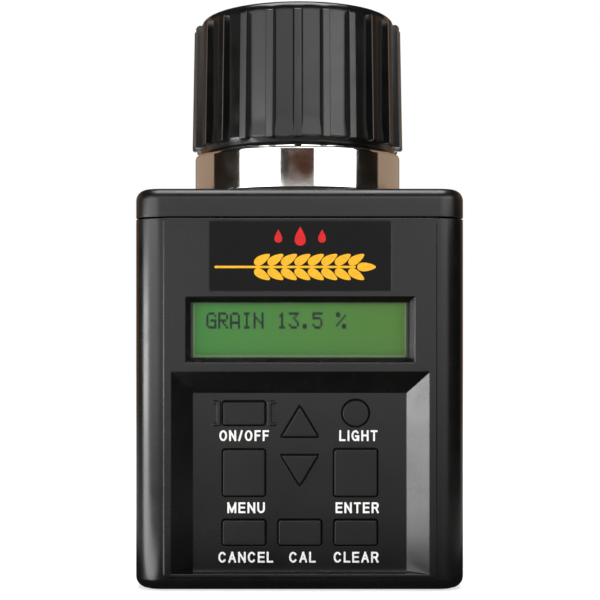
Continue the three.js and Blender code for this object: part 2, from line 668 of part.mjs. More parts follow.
function pressurePlate() {
  const hubTop = plateTop + plunger.hubHeight;
  const r = plateR;
  const plate = turned([
    [0, plateBottom], [r * 0.5, plateBottom], [r, plateBottom + plunger.coneDepth], [r, plateTop],
    [plunger.hubR, plateTop], [plunger.hubR, hubTop], [0, hubTop],
  ]);
  return cut(plate, disc(plunger.stemR + gap, plateTop - 1, hubTop + 1, 24));
}

function indicatorPin() {
  const headTop = headBottom + plunger.headThick;
  const bottom = plateTop - 1 + gap;
  const r = plunger.headR;
  return turned([
    [0, bottom], [plunger.stemR, bottom], [plunger.stemR, headBottom], [r, headBottom],
    [r, headTop - 0.4], [r - 0.4, headTop], [0, headTop],
  ], 32);
}

function pressureSpring() {
  const clear = spring.wireR + gap;
  return tube(new Helix(spring.r, plateTop + clear, washerBottom - clear, spring.turns), spring.wireR, 6, 50);
}

// ---------------------------------------------------------------- battery

const batteryLeft = -bay.halfWidth + 0.5;
const batteryRight = batteryLeft + battery.length;
const batteryY = bayFrontY + 0.5;
const batteryZ = bay.bottom + (bay.height - battery.height) / 2;
const terminalZ = [-6.3, 6.3].map((off) => batteryZ + battery.height / 2 + off);
const terminalY = batteryY + battery.depth / 2;

function batteryBlock() {
  const block = box(batteryLeft, batteryRight, batteryY, batteryY + battery.depth, batteryZ, batteryZ + battery.height);
  const studs = terminalZ.map((z) => {
    const stud = new THREE.CylinderGeometry(battery.terminalR, battery.terminalR, battery.terminalHeight + 0.5, 12);
    const x = batteryRight + battery.terminalHeight / 2 - 0.25;
    return solid(stud.rotateZ(Math.PI / 2).translate(x, terminalY, z));
  });
  return join(block, ...studs);
}

const snapX = batteryRight + battery.terminalHeight + gap;

function batterySnap() {
  const shape = roundedRectangle(13, 25, 3);
  const geometry = new THREE.ExtrudeGeometry(shape, { depth: 2.4, bevelEnabled: false, curveSegments: 4 });
  geometry.rotateX(Math.PI / 2).rotateZ(Math.PI / 2);
  return solid(geometry.translate(snapX, terminalY, batteryZ + battery.height / 2));
}

function batteryDoor() {
  const half = bay.halfWidth + door.rebate - door.clear;
  const low = bay.bottom - door.rebate + door.clear;
  const high = bayTop + door.rebate - door.clear;
  const faceY = backY - door.thick;
  let panelDoor = box(-half, half, faceY, backY, low, high);
  const tabs = [-1, 1].map((side) => {
    const x = side * door.tabX;
    const [a, b] = [x - door.tabWidth / 2, x + door.tabWidth / 2];
    const rear = faceY - 0.8;
    const arm = box(a, b, rear - door.tabThick, faceY + 0.1, bay.bottom + gap, bay.bottom + gap + 1.6);
    const hook = box(a, b, rear - door.tabThick, rear, low - door.tabReach, bay.bottom + gap + 1.6);
    return join(arm, hook);
  });
  const grips = [0, 1, 2, 3].map((i) => box(-9, 9, backY - 0.5, backY + 1, high - 5 - i * 2.4, high - 4 - i * 2.4));
  return cut(join(panelDoor, ...tabs), ...grips);
}

// ---------------------------------------------------------------- electronics

function controllerChip(y) {
  const body = box(-9, 9, y + 0.8, y + 4, 28, 35);
  const legs = [];
  for (let i = 0; i < 7; i++) {
    const x = -7.5 + i * 2.5;
    legs.push(box(x - 0.5, x + 0.5, y + 0.2, y + 1.6, 26.6, 36.4));
  }
  return join(body, ...legs);
}

function ribbon() {
  // A flat strip that arches back from the display board's foot to the main board's head.
  const x = 14;
  const back = 4.5;
  const lcdBack = lcdBoardY + board.thick + 0.5;
  const mainBack = boardY + board.thick + gap;
  const [near, far] = [Math.min(lcdBack, mainBack), Math.max(lcdBack, mainBack)];
  const low = board.top - 7;
  const high = display.z - lcdBoard.height / 2 + 6;
  const outside = box(-x, x, near, far + back, low, high);
  const hollow = box(-x - 1, x + 1, near - 1, far + back - 0.6, low + 0.6, high - 0.6);
  const displaySide = box(-x - 1, x + 1, near - 1, lcdBack, (low + high) / 2, high + 1);
  const mainSide = box(-x - 1, x + 1, near - 1, mainBack, low - 1, (low + high) / 2);
  return cut(outside, hollow, displaySide, mainSide);
}

function lead(points, step, r = wire.r) {
  const curve = new THREE.CatmullRomCurve3(points.map((p) => new THREE.Vector3(...p)));
  return tube(curve, r, 6, Math.round(curve.getLength() / step));
}

// ---------------------------------------------------------------- assembly

const meter = new THREE.Group();
const m = materials;

piece("front_shell", frontShell(), m.casePlastic, meter);
piece("back_shell", backShell(), m.casePlastic, meter);
piece("top_cover", topCover(), m.casePlastic, meter);
const labelY = frontY + label.sink - label.thick;
const labelShape = roundedRectangle(label.width, label.height, 0.5);
piece("front_label", plateY(labelShape, 0, labelZ, labelY, frontY + label.sink), m.printed, meter);
postPlaces.forEach(([x, z], i) => {
  piece(`case_screw_${i + 1}`, screwY(x, z, screwSeat.y + 0.1, caseScrew), m.zinc, meter);
});

const lensY = innerFrontY + 0.1;
piece("display_window", displayBox(lens.width, lens.height, lensY, lensY + lens.thick), m.clear, meter);
piece("lcd_frame", lcdFrame(), m.blackMetal, meter);
const glassY = lcdY + lcd.skin + 0.1;
const [insideWidth, insideHeight] = [lcd.frameWidth - 2 * lcd.skin - 1, lcd.frameHeight - 2 * lcd.skin - 1];
const glass = displayBox(insideWidth, insideHeight, glassY, glassY + lcd.glassThick);
piece("lcd_glass", glass, m.lcdGreen, meter);
const guideY = glassY + lcd.glassThick + 0.2;
piece("lcd_backlight", displayBox(insideWidth, insideHeight, guideY, lcdBoardY - 0.3), m.lightGuide, meter);
const [lcdLow, lcdHigh] = [display.z - lcdBoard.height / 2, display.z + lcdBoard.height / 2];
piece("display_board", circuitBoard(lcdBoard.width, lcdLow, lcdHigh, lcdBoardY, lcdHoles), m.boardGreen, meter);
lcdHoles.forEach(([x, z], i) => {
  const seat = lcdBoardY + board.thick + 0.1;
  piece(`display_screw_${i + 1}`, screwY(x, z, seat, smallScrew), m.zinc, meter);
});

for (const k of keys) piece(k.name, keyTop(k), m.keyRubber, meter);
piece("keypad_mat", keypadMat(), m.matRubber, meter);
const boardBackY = boardY + board.thick;
piece("main_board", circuitBoard(board.width, board.bottom, board.top, boardY, boardHoles), m.boardGreen, meter);
boardHoles.forEach(([x, z], i) => {
  piece(`board_screw_${i + 1}`, screwY(x, z, boardBackY + 0.1, smallScrew), m.zinc, meter);
});
piece("controller_chip", controllerChip(boardBackY), m.chipBlack, meter);
piece("buzzer", barY(6, 22, 45, boardBackY + 0.1, boardBackY + 7, 20), m.chipBlack, meter);
piece("display_ribbon", ribbon(), m.acetal, meter);

piece("cell_cup", cellCup(), m.steel, meter);
piece("cell_base", cellBase(), m.acetal, meter);
const gasketLow = caseSize.height + 0.05;
piece("cell_gasket", ring(cupR + gasket.clear, neckR - gasket.inset, gasketLow, gasketLow + gasket.thick), m.gasketRubber, meter);
piece("cell_lock_ring", lockingRing(), m.zinc, meter);
piece("centre_electrode", centreElectrode(), m.steel, meter);
piece("electrode_lug", solderLug(), m.zinc, meter);
piece("electrode_nut", hexNut(), m.zinc, meter);
piece("temperature_probe", temperatureProbe(), m.steel, meter);

const capGroup = new THREE.Group();
meter.add(capGroup);
piece("cap_shell", capShell(), m.capPlastic, capGroup);
const washerRing = ring(plunger.stemR + gap, washer.outerR, washerBottom, washerTop, 32);
piece("thrust_washer", washerRing, m.zinc, capGroup);
piece("pressure_spring", pressureSpring(), m.springSteel, capGroup);
piece("pressure_plate", pressurePlate(), m.acetal, capGroup);
piece("indicator_pin", indicatorPin(), m.steel, capGroup);

piece("battery", batteryBlock(), m.batteryCase, meter);
piece("battery_snap", batterySnap(), m.blackWire, meter);
const snapBack = snapX + 2.4 + gap;
const wireRoute = (z, endZ) => [
  [snapBack + 0.8, terminalY, z], [snapBack + 1.6, terminalY - 5, gate.z], [gate.x, bayFrontY, gate.z],
  [gate.x - 0.5, bayFrontY - 12, gate.z - 4], [24, boardBackY + 10, endZ], [24, boardBackY + gap, endZ],
];
piece("battery_lead_red", lead(wireRoute(terminalZ[1], 24), wire.step), m.redWire, meter);
const lower = wireRoute(terminalZ[0], 18).map(([x, y, z], i) => [x, y, i && i < 4 ? z - 2 : z]);
piece("battery_lead_black", lead(lower, wire.step), m.blackWire, meter);
const lugZ = nutTop + gap + electrode.lugThick / 2;
const cellRoute = [
  [0, -10 - gap - wire.r, lugZ], [0, -13, lugZ - 4], [-6, boardBackY + 7.8, 70],
  [-20, boardBackY + 8.8, 58], [-20, boardBackY + 5, 50], [-20, boardBackY + gap, 50],
];
piece("electrode_lead", lead(cellRoute, wire.cellStep), m.redWire, meter);
piece("battery_door", batteryDoor(), m.casePlastic, meter);

export default meter;
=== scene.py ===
import math
from contextlib import contextmanager

import bmesh
import bpy
from mathutils import Matrix, Vector


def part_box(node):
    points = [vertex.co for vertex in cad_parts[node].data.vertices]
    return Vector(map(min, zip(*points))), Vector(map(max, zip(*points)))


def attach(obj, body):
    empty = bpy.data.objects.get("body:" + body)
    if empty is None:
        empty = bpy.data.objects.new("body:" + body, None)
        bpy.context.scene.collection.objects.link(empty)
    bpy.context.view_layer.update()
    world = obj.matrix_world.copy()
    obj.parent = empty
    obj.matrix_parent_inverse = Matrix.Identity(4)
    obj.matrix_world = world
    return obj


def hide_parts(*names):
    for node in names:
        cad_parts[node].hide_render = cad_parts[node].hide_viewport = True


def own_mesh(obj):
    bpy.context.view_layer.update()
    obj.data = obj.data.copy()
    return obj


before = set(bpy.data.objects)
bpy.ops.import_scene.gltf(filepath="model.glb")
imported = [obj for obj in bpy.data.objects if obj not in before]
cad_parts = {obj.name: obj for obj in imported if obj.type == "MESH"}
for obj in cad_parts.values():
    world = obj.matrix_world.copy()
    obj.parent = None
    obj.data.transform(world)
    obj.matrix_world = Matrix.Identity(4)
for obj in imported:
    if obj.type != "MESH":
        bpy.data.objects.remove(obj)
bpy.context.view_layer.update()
mm = 0.001
print("frame loaded")


def spanOf(node):
    low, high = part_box(node)
    return Vector(low) / mm, Vector(high) / mm


# camera and studio

studio = {
    "lens": 82.4,
    "eye": (-10.4, -445, 75.3),
    "shift": (0.058, 0.063),
    "floorTone": 0.8,
    "floorGlow": (0.1, 0.7, 0.62, 0.99),
    "ambient": 0.035,
}


def makeCamera():
    data = bpy.data.cameras.new("camera")
    data.lens = studio["lens"]
    data.shift_x, data.shift_y = studio["shift"]
    data.clip_start = 0.01
    camera = bpy.data.objects.new("camera", data)
    camera.location = [v * mm for v in studio["eye"]]
    camera.rotation_euler = (math.radians(90), 0, 0)
    bpy.context.collection.objects.link(camera)
    bpy.context.scene.camera = camera
    bpy.context.scene.view_settings.view_transform = "Standard"


def link(tree, start, end):
    tree.links.new(start, end)


# adds a node; inputs are given as links from other nodes or as plain values, options by name
def addNode(tree, kind, inputs=None, **options):
    node = tree.nodes.new(kind)
    for name, value in options.items():
        setattr(node, name, value)
    for place, value in (inputs or {}).items():
        if isinstance(value, bpy.types.NodeSocket):
            link(tree, value, node.inputs[place])
        else:
            node.inputs[place].default_value = value
    return node


def glowing(name, colour, strength):
    material = bpy.data.materials.new(name)
    material.use_nodes = True
    tree = material.node_tree
    tree.nodes.clear()
    glow = addNode(tree, "ShaderNodeEmission", {"Color": (*colour, 1), "Strength": strength})
    addNode(tree, "ShaderNodeOutputMaterial", {"Surface": glow.outputs[0]})
    return material


def meshObject(name, places, faces, edges=()):
    mesh = bpy.data.meshes.new(name)
    mesh.from_pydata([[c * mm for c in p] for p in places], list(edges), faces)
    mesh.update()
    made = bpy.data.objects.new(name, mesh)
    bpy.context.collection.objects.link(made)
    return made


# a curved card that stands round the meter: angles from the front, to the right
def studioWall(name, start, end, radius, low, high, colour, strength):
    steps = 12
    places, faces = [], []
    for i in range(steps + 1):
        turn = math.radians(start + (end - start) * i / steps)
        x, y = radius * math.sin(turn), -radius * math.cos(turn)
        places += [(x, y, low), (x, y, high)]
    for i in range(steps):
        faces.append((2 * i, 2 * i + 2, 2 * i + 3, 2 * i + 1))
    wall = glowCard(name, places, faces, colour, strength, ("camera", "shadow"))


# a glowing sheet that some kinds of ray don't see
def glowCard(name, places, faces, colour, strength, hidden):
    card = meshObject(name, places, faces)
    card.data.materials.append(glowing(name, colour, strength))
    for kind in hidden:
        setattr(card, "visible_" + kind, False)
    return card


def areaLight(name, place, target, size, power):
    data = bpy.data.lights.new(name, "AREA")
    data.shape = "RECTANGLE"
    data.size, data.size_y = size[0] * mm, size[1] * mm
    data.energy = power
    lamp = bpy.data.objects.new(name, data)
    lamp.location = [v * mm for v in place]
    aim = Vector(target) - Vector(place)
    lamp.rotation_euler = aim.to_track_quat("-Z", "Y").to_euler()
    bpy.context.collection.objects.link(lamp)


tones = {
    "white": (1, 1, 1), "brown": (0.075, 0.027, 0.012), "dark": (0.02, 0.015, 0.011),
    "tan": (0.42, 0.31, 0.23), "black": (0.003, 0.003, 0.003),
    "capWarm": (0.42, 0.24, 0.14), "caseWarm": (0.3, 0.17, 0.09),
}
# how far out a card stands, and its foot and head
bands = {
    "neck": (760, 200, 256), "cap": (760, 256, 520), "case": (760, 0, 200), "side": (760, 0, 120),
    "closeRight": (240, -0.2, 138), "closeLeft": (420, -0.2, 160),
}
# name, the angles it spans, band, tone and strength
cards = [
    ("neckLeft", -66, -20, "neck", "white", 5.6),
    ("neckRight", 17, 65, "neck", "white", 4.2),
    ("neckFrontDark", -20, -10, "neck", "dark", 1),
    ("neckFront", -10, 17, "neck", "brown", 1),
    ("neckGapLeft", -106, -66, "neck", "dark", 1),
    ("neckGapRight", 65, 98, "neck", "dark", 0.6),
    ("neckWarmLeft", -163, -106, "neck", "tan", 1),
    ("neckWarmRight", 98, 160, "neck", "tan", 1),
    ("capLeft", -66, -24, "cap", "white", 2.0),
    ("capFrontLeft", -24, -2, "cap", "white", 1.5),
    ("capFrontRight", -2, 22, "cap", "white", 2.3),
    ("capRight", 22, 65, "cap", "white", 3.2),
    ("capGapLeft", -98, -66, "cap", "black", 1),
    ("capGapRight", 65, 90, "cap", "black", 1),
    ("capWarmLeft", -163, -98, "cap", "capWarm", 1),
    ("capWarmRight", 90, 160, "cap", "capWarm", 1),
    ("lowLeft", -60, -16, "case", "white", 2.6),
    ("lowSide", -84, -60, "side", "white", 16),
    ("lowFront", -16, 14, "case", "white", 1.15),
    ("lowRight", 14, 46, "case", "white", 1.1),
    ("lowGapRight", 46, 112, "closeRight", "black", 1),
    ("lowGapLeft", -112, -84, "closeLeft", "black", 1),
    ("lowWarmLeft", -163, -112, "case", "caseWarm", 1),
    ("lowWarmRight", 112, 160, "case", "caseWarm", 1),
]


def makeStudio():
    world = bpy.data.worlds.new("studio")
    bpy.context.scene.world = world
    world.use_nodes = True
    tree = world.node_tree
    tree.nodes.clear()
    seen = addNode(tree, "ShaderNodeBackground", {"Color": (1, 1, 1, 1), "Strength": 1.0})
    fill = addNode(tree, "ShaderNodeBackground", {"Color": (1, 0.98, 0.96, 1), "Strength": studio["ambient"]})
    path = addNode(tree, "ShaderNodeLightPath")
    mix = addNode(tree, "ShaderNodeMixShader",
                  {0: path.outputs["Is Camera Ray"], 1: fill.outputs[0], 2: seen.outputs[0]})
    addNode(tree, "ShaderNodeOutputWorld", {"Surface": mix.outputs[0]})

    reach, low = 2600, -0.3
    square = [(-reach, -reach, low), (reach, -reach, low), (reach, reach, low), (-reach, reach, low)]
    floor = meshObject("floor", square, [(0, 1, 2, 3)])
    pale = bpy.data.materials.new("paleFloor")
    pale.use_nodes = True
    shader = pale.node_tree.nodes["Principled BSDF"]
    shader.inputs["Base Color"].default_value = (studio["floorTone"],) * 3 + (1,)
    shader.inputs["Roughness"].default_value = 0.9
    shader.inputs["Specular IOR Level"].default_value = 0.1
    shader.inputs["Emission Color"].default_value = (1, 1, 1, 1)
    place = addNode(pale.node_tree, "ShaderNodeTexCoord")
    away = addNode(pale.node_tree, "ShaderNodeVectorMath", {0: place.outputs["Object"]}, operation="LENGTH")
    reachGlow = dict(zip(("From Min", "From Max", "To Min", "To Max"), studio["floorGlow"]))
    glow = addNode(pale.node_tree, "ShaderNodeMapRange", {**reachGlow, "Value": away.outputs["Value"]})
    link(pale.node_tree, glow.outputs[0], shader.inputs["Emission Strength"])
    floor.data.materials.append(pale)

    for name, start, end, band, colour, strength in cards:
        radius, low, high = bands[band]
        studioWall(name, start, end, radius, low, high, tones[colour], strength)
    areaLight("overhead", (0, -60, 760), (0, 0, 100), (560, 420), 5)
    # the table round the meter, dark close by, which only reflections see
    tableRing("tableNear", (110, 110), (46, 33), (0.02, 0.019, 0.018))
    tableRing("tableFar", (900, 900), (110, 110), (0.4, 0.39, 0.38))
    # a bright strip on the table to the left, for the keypad well's right bevel
    strip = [(-54, -44, 0.12), (-420, -44, 0.12), (-420, -240, 0.12), (-54, -84, 0.12)]
    tableSheet("tableGlow", strip, [(0, 1, 2, 3)], (6.5, 6.5, 6.5))


def tableRing(name, outer, inner, colour):
    corners = ((-1, -1), (1, -1), (1, 1), (-1, 1))
    places = [(sx * x, sy * y, 0.1) for x, y in (outer, inner) for sx, sy in corners]
    tableSheet(name, places, [(i, (i + 1) % 4, 4 + (i + 1) % 4, 4 + i) for i in range(4)], colour)


def tableSheet(name, places, faces, colour):
    table = glowCard(name, places, faces, colour, 1, ("camera", "shadow", "diffuse"))


makeCamera()
makeStudio()
print("studio made")


# building blocks: everything below is measured in millimetres until a mesh is made

def arc(cx, cy, r, start, end, steps):
    points = []
    for i in range(steps + 1):
        turn = math.radians(start + (end - start) * i / steps)
        points.append((cx + r * math.cos(turn), cy + r * math.sin(turn)))
    return points


def roundedOutline(width, height, r, steps=6, cx=0, cy=0):
    r = max(r, 0.05)
    x, y = width / 2 - r, height / 2 - r
    points = []
    for sx, sy, start in ((1, -1, -90), (1, 1, 0), (-1, 1, 90), (-1, -1, 180)):
        points += arc(cx + sx * x, cy + sy * y, r, start, start + 90, steps)
    return points


# joins rings of equal length into a closed skin with flat ends
def skinned(name, rings):
    count = len(rings[0])
    places = [p for ring in rings for p in ring]
    faces = [tuple(reversed(range(count))), tuple((len(rings) - 1) * count + i for i in range(count))]
    for k in range(len(rings) - 1):
        for i in range(count):
            j = (i + 1) % count
            faces.append((k * count + i, k * count + j, (k + 1) * count + j, (k + 1) * count + i))
    return meshObject(name, places, faces)


# an outline in x and y pushed along z
def prism(name, outline, low, high):
    return skinned(name, [[(x, y, z) for x, y in outline] for z in (low, high)])


# an outline in x and z pushed along y, front first
def slabY(name, outline, front, back):
    rings = [[(x, y, z) for x, z in outline] for y in (back, front)]
    return skinned(name, rings)


def block(name, x0, x1, y0, y1, z0, z1):
    return prism(name, [(x0, y0), (x1, y0), (x1, y1), (x0, y1)], z0, z1)


def rodY(name, x, z, r, y0, y1, steps=32):
    return slabY(name, arc(x, z, r, 0, 360 - 360 / steps, steps - 1), y0, y1)


# a wedge whose front and back rectangles differ, each (x0, x1, z0, z1)
def taperY(name, front, back, y0, y1):
    rings = []
    for (x0, x1, z0, z1), y in ((back, y1), (front, y0)):
        rings.append([(x0, y, z0), (x1, y, z0), (x1, y, z1), (x0, y, z1)])
    return skinned(name, rings)


# a closed solid of revolution; outline points are (radius, height), anticlockwise with radius to the right
def turned(name, outline, steps=128):
    places, faces, rings = [], [], []
    for r, z in outline:
        if r < 1e-6:
            rings.append([len(places)] * steps)
            places.append((0, 0, z))
            continue
        rings.append([len(places) + i for i in range(steps)])
        for i in range(steps):
            turn = 2 * math.pi * i / steps
            places.append((r * math.cos(turn), r * math.sin(turn), z))
    closed = outline[0][0] > 1e-6
    last = len(rings) if closed else len(rings) - 1
    for k in range(last):
        a, b = rings[k], rings[(k + 1) % len(rings)]
        for i in range(steps):
            j = (i + 1) % steps
            corners = []
            for v in (a[i], a[j], b[j], b[i]):
                if v not in corners:
                    corners.append(v)
            if len(corners) > 2:
                faces.append(tuple(corners))
    return meshObject(name, places, faces)


# rounds the corners of a revolved outline; each point is (radius, height, rounding)
def softened(points, steps=4, closed=True):
    out = []
    count = len(points)
    for i, (r, z, soft) in enumerate(points):
        if not soft or (not closed and i in (0, count - 1)):
            out.append((r, z))
            continue
        here = Vector((r, z))
        before = Vector(points[i - 1][:2]) - here
        after = Vector(points[(i + 1) % count][:2]) - here
        reach = min(soft, before.length * 0.49, after.length * 0.49)
        a, b = here + before.normalized() * reach, here + after.normalized() * reach
        for k in range(steps + 1):
            t = k / steps
            out.append(tuple(a * (1 - t) ** 2 + here * 2 * t * (1 - t) + b * t ** 2))
    return out


# the evaluated mesh takes the place of the piece's own, with no modifiers left
def settle(piece):
    graph = bpy.context.evaluated_depsgraph_get()
    made = bpy.data.meshes.new_from_object(
        piece.evaluated_get(graph), preserve_all_data_layers=True, depsgraph=graph)
    old = piece.data
    piece.modifiers.clear()
    piece.data = made
    made.name = piece.name
    bpy.data.meshes.remove(old)
    return piece


def thrownAway(piece):
    data = piece.data
    bpy.data.objects.remove(piece)
    bpy.data.meshes.remove(data)


def carve(piece, tools, operation="DIFFERENCE"):
    for tool in tools:
        step = piece.modifiers.new("carve", "BOOLEAN")
        step.operation = operation
        step.solver = "EXACT"
        step.object = tool
    settle(piece)
    for tool in tools:
        thrownAway(tool)
    return piece


# a piece's mesh opened for editing, and put back when the edit ends
@contextmanager
def opened(piece):
    shape = bmesh.new()
    shape.from_mesh(piece.data)
    yield shape
    shape.to_mesh(piece.data)
    shape.free()


def merged(piece):
    distance = 0.002
    with opened(piece) as shape:
        bmesh.ops.remove_doubles(shape, verts=shape.verts, dist=distance * mm)
        bmesh.ops.dissolve_degenerate(shape, edges=shape.edges, dist=distance * mm)


# rounds the sharp edges that chosen(middle, length) picks, then shades the rest smooth
def edged(piece, width, chosen=None):
    steps, sharp, layer = 3, 32, "bevel_weight_edge"
    merged(piece)
    with opened(piece) as shape:
        weight = shape.edges.layers.float.get(layer) or shape.edges.layers.float.new(layer)
        for edge in shape.edges:
            if len(edge.link_faces) != 2 or edge.calc_face_angle(0) < math.radians(sharp):
                continue
            middle = (edge.verts[0].co + edge.verts[1].co) / 2 / mm
            if chosen is None or chosen(middle, edge.calc_length() / mm):
                edge[weight] = 1
    bevel = piece.modifiers.new("edges", "BEVEL")
    bevel.width = width * mm
    bevel.segments = steps
    bevel.limit_method = "WEIGHT"
    bevel.use_clamp_overlap = False
    bevel.harden_normals = False
    bevel.miter_outer = "MITER_ARC"
    settle(piece)
    return levelled(piece)


def smooth(piece, sharp=32):
    for face in piece.data.polygons:
        face.use_smooth = True
    piece.data.set_sharp_from_angle(angle=math.radians(sharp))
    return piece


# large flat faces keep their own direction, and the rounded edges blend into them
def levelled(piece, sharp=42):
    smooth(piece, sharp)
    weigh = piece.modifiers.new("level", "WEIGHTED_NORMAL")
    weigh.keep_sharp = True
    weigh.weight = 100
    return settle(piece)


def dress(piece, material, body, nodes=()):
    piece.data.materials.clear()
    piece.data.materials.append(material)
    for face in piece.data.polygons:
        face.material_index = 0
    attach(piece, body)
    if nodes:
        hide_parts(*nodes)
    return piece


# geometry nodes

def newTree(name, inputs):
    tree = bpy.data.node_groups.new(name, "GeometryNodeTree")
    face = tree.interface
    face.new_socket("Geometry", in_out="INPUT", socket_type="NodeSocketGeometry")
    for label, kind, value in inputs:
        socket = face.new_socket(label, in_out="INPUT", socket_type=kind)
        if value is not None:
            socket.default_value = value
    face.new_socket("Geometry", in_out="OUTPUT", socket_type="NodeSocketGeometry")
    return tree, tree.nodes.new("NodeGroupInput"), tree.nodes.new("NodeGroupOutput")


def closeTree(tree, groupIn, groupOut, geometry):
    realize = addNode(tree, "GeometryNodeRealizeInstances", {"Geometry": geometry})
    paint = addNode(tree, "GeometryNodeSetMaterial", {
        "Geometry": realize.outputs[0], "Material": groupIn.outputs["Material"]})
    link(tree, paint.outputs[0], groupOut.inputs["Geometry"])
    return tree


# copies of a piece turned evenly round the upright axis
def ringTree():
    tree, groupIn, groupOut = newTree("ringOfCopies", [
        ("Count", "NodeSocketInt", 12), ("Turn", "NodeSocketFloat", 0.0),
        ("Material", "NodeSocketMaterial", None)])
    spots = addNode(tree, "GeometryNodePoints", {"Count": groupIn.outputs["Count"]})
    index = addNode(tree, "GeometryNodeInputIndex")
    step = addNode(tree, "ShaderNodeMath", {0: 2 * math.pi, 1: groupIn.outputs["Count"]}, operation="DIVIDE")
    turn = addNode(tree, "ShaderNodeMath", operation="MULTIPLY_ADD", inputs={
        0: index.outputs[0], 1: step.outputs[0], 2: groupIn.outputs["Turn"]})
    upright = addNode(tree, "ShaderNodeCombineXYZ", {"Z": turn.outputs[0]})
    copies = addNode(tree, "GeometryNodeInstanceOnPoints", {
        "Points": spots.outputs[0], "Instance": groupIn.outputs["Geometry"], "Rotation": upright.outputs[0]})
    return closeTree(tree, groupIn, groupOut, copies.outputs[0])


# a copy of one object at each point of the mesh
def scatterTree():
    tree, groupIn, groupOut = newTree("copiesAtPoints", [
        ("Copy", "NodeSocketObject", None), ("Material", "NodeSocketMaterial", None)])
    source = addNode(tree, "GeometryNodeObjectInfo", {"Object": groupIn.outputs["Copy"]})
    copies = addNode(tree, "GeometryNodeInstanceOnPoints", {
        "Points": groupIn.outputs["Geometry"], "Instance": source.outputs["Geometry"]})
    return closeTree(tree, groupIn, groupOut, copies.outputs[0])


# a section (the mesh's own outline curve) swept up a helix and lifted to its low end
def helixTree():
    tree, groupIn, groupOut = newTree("helixSweep", [
        ("Radius", "NodeSocketFloat", 0.01), ("Rise", "NodeSocketFloat", 0.01),
        ("Turns", "NodeSocketFloat", 2.0), ("Steps", "NodeSocketInt", 32), ("Low", "NodeSocketFloat", 0.0),
        ("Material", "NodeSocketMaterial", None)])
    given = groupIn.outputs
    spiral = addNode(tree, "GeometryNodeCurveSpiral", {
        "Resolution": given["Steps"], "Rotations": given["Turns"], "Start Radius": given["Radius"],
        "End Radius": given["Radius"], "Height": given["Rise"], "Reverse": False})
    level = addNode(tree, "GeometryNodeSetCurveNormal", {"Curve": spiral.outputs[0]}, mode="Z_UP")
    section = addNode(tree, "GeometryNodeMeshToCurve", {"Mesh": given["Geometry"]})
    sweep = addNode(tree, "GeometryNodeCurveToMesh", {
        "Fill Caps": True, "Curve": level.outputs[0], "Profile Curve": section.outputs[0]})
    lift = addNode(tree, "ShaderNodeCombineXYZ", {"Z": given["Low"]})
    move = addNode(tree, "GeometryNodeSetPosition", {"Geometry": sweep.outputs[0], "Offset": lift.outputs[0]})
    return closeTree(tree, groupIn, groupOut, move.outputs[0])


trees = {"ring": ringTree(), "scatter": scatterTree(), "helix": helixTree()}


def grown(piece, kind, **values):
    step = piece.modifiers.new(kind, "NODES")
    step.node_group = trees[kind]
    for item in trees[kind].interface.items_tree:
        if item.item_type == "SOCKET" and item.in_out == "INPUT" and item.name in values:
            step[item.identifier] = values[item.name]
    return settle(piece)


def joined(piece, *others):
    with opened(piece) as shape:
        for other in others:
            shape.from_mesh(other.data)
    for other in others:
        thrownAway(other)
    return piece


# faces of a sweep can come out inside out, so they are turned before use
def outward(piece):
    with opened(piece) as shape:
        bmesh.ops.remove_doubles(shape, verts=shape.verts, dist=1e-7)
        bmesh.ops.recalc_face_normals(shape, faces=shape.faces)
    return piece


print("tools ready")

# materials


def newMaterial(name):
    material = bpy.data.materials.new(name)
    material.use_nodes = True
    tree = material.node_tree
    shader = tree.nodes["Principled BSDF"]
    coords = tree.nodes.new("ShaderNodeTexCoord")
    return material, tree, shader, coords.outputs["Object"]


def noise(tree, place, size, detail=3.0, rough=0.5, stretch=(1, 1, 1)):
    if stretch != (1, 1, 1):
        place = addNode(tree, "ShaderNodeMapping", {"Scale": stretch, "Vector": place}).outputs[0]
    return addNode(tree, "ShaderNodeTexNoise", {
        "Scale": 1 / (size * mm), "Detail": detail, "Roughness": rough, "Vector": place}).outputs["Fac"]


def ranged(tree, value, low, high, start=0.3, end=0.7):
    return addNode(tree, "ShaderNodeMapRange", {
        "From Min": start, "From Max": end, "To Min": low, "To Max": high, "Value": value}).outputs[0]


# clouds of one size, ranged from low to high
def cloudy(tree, place, size, low, high, detail=3.0):
    return ranged(tree, noise(tree, place, size, detail), low, high)


def blended(tree, value, first, second):
    return addNode(tree, "ShaderNodeMix", data_type="RGBA", inputs={
        "A": (*first, 1), "B": (*second, 1), "Factor": value}).outputs["Result"]


def bumped(tree, shader, heights):
    normal = None
    for height, depth in heights:
        bump = addNode(tree, "ShaderNodeBump", {"Strength": 1.0, "Distance": depth * mm, "Height": height})
        if normal is not None:
            link(tree, normal, bump.inputs["Normal"])
        normal = bump.outputs[0]
    link(tree, normal, shader.inputs["Normal"])


# moulded plastic: fine spark-eroded grain, faint flow clouds and a little polish from handling
def plastic(name, dark, light, roughLow, roughHigh, grain=0.22, depth=0.006, level=0.5):
    material, tree, shader, place = newMaterial(name)
    link(tree, blended(tree, cloudy(tree, place, 14, 0, 1), dark, light), shader.inputs["Base Color"])
    link(tree, cloudy(tree, place, 9, roughLow, roughHigh, 4), shader.inputs["Roughness"])
    shader.inputs["Specular IOR Level"].default_value = level
    bumped(tree, shader, [(noise(tree, place, grain, 2), depth), (noise(tree, place, 6, 2), depth * 1.6)])
    return material


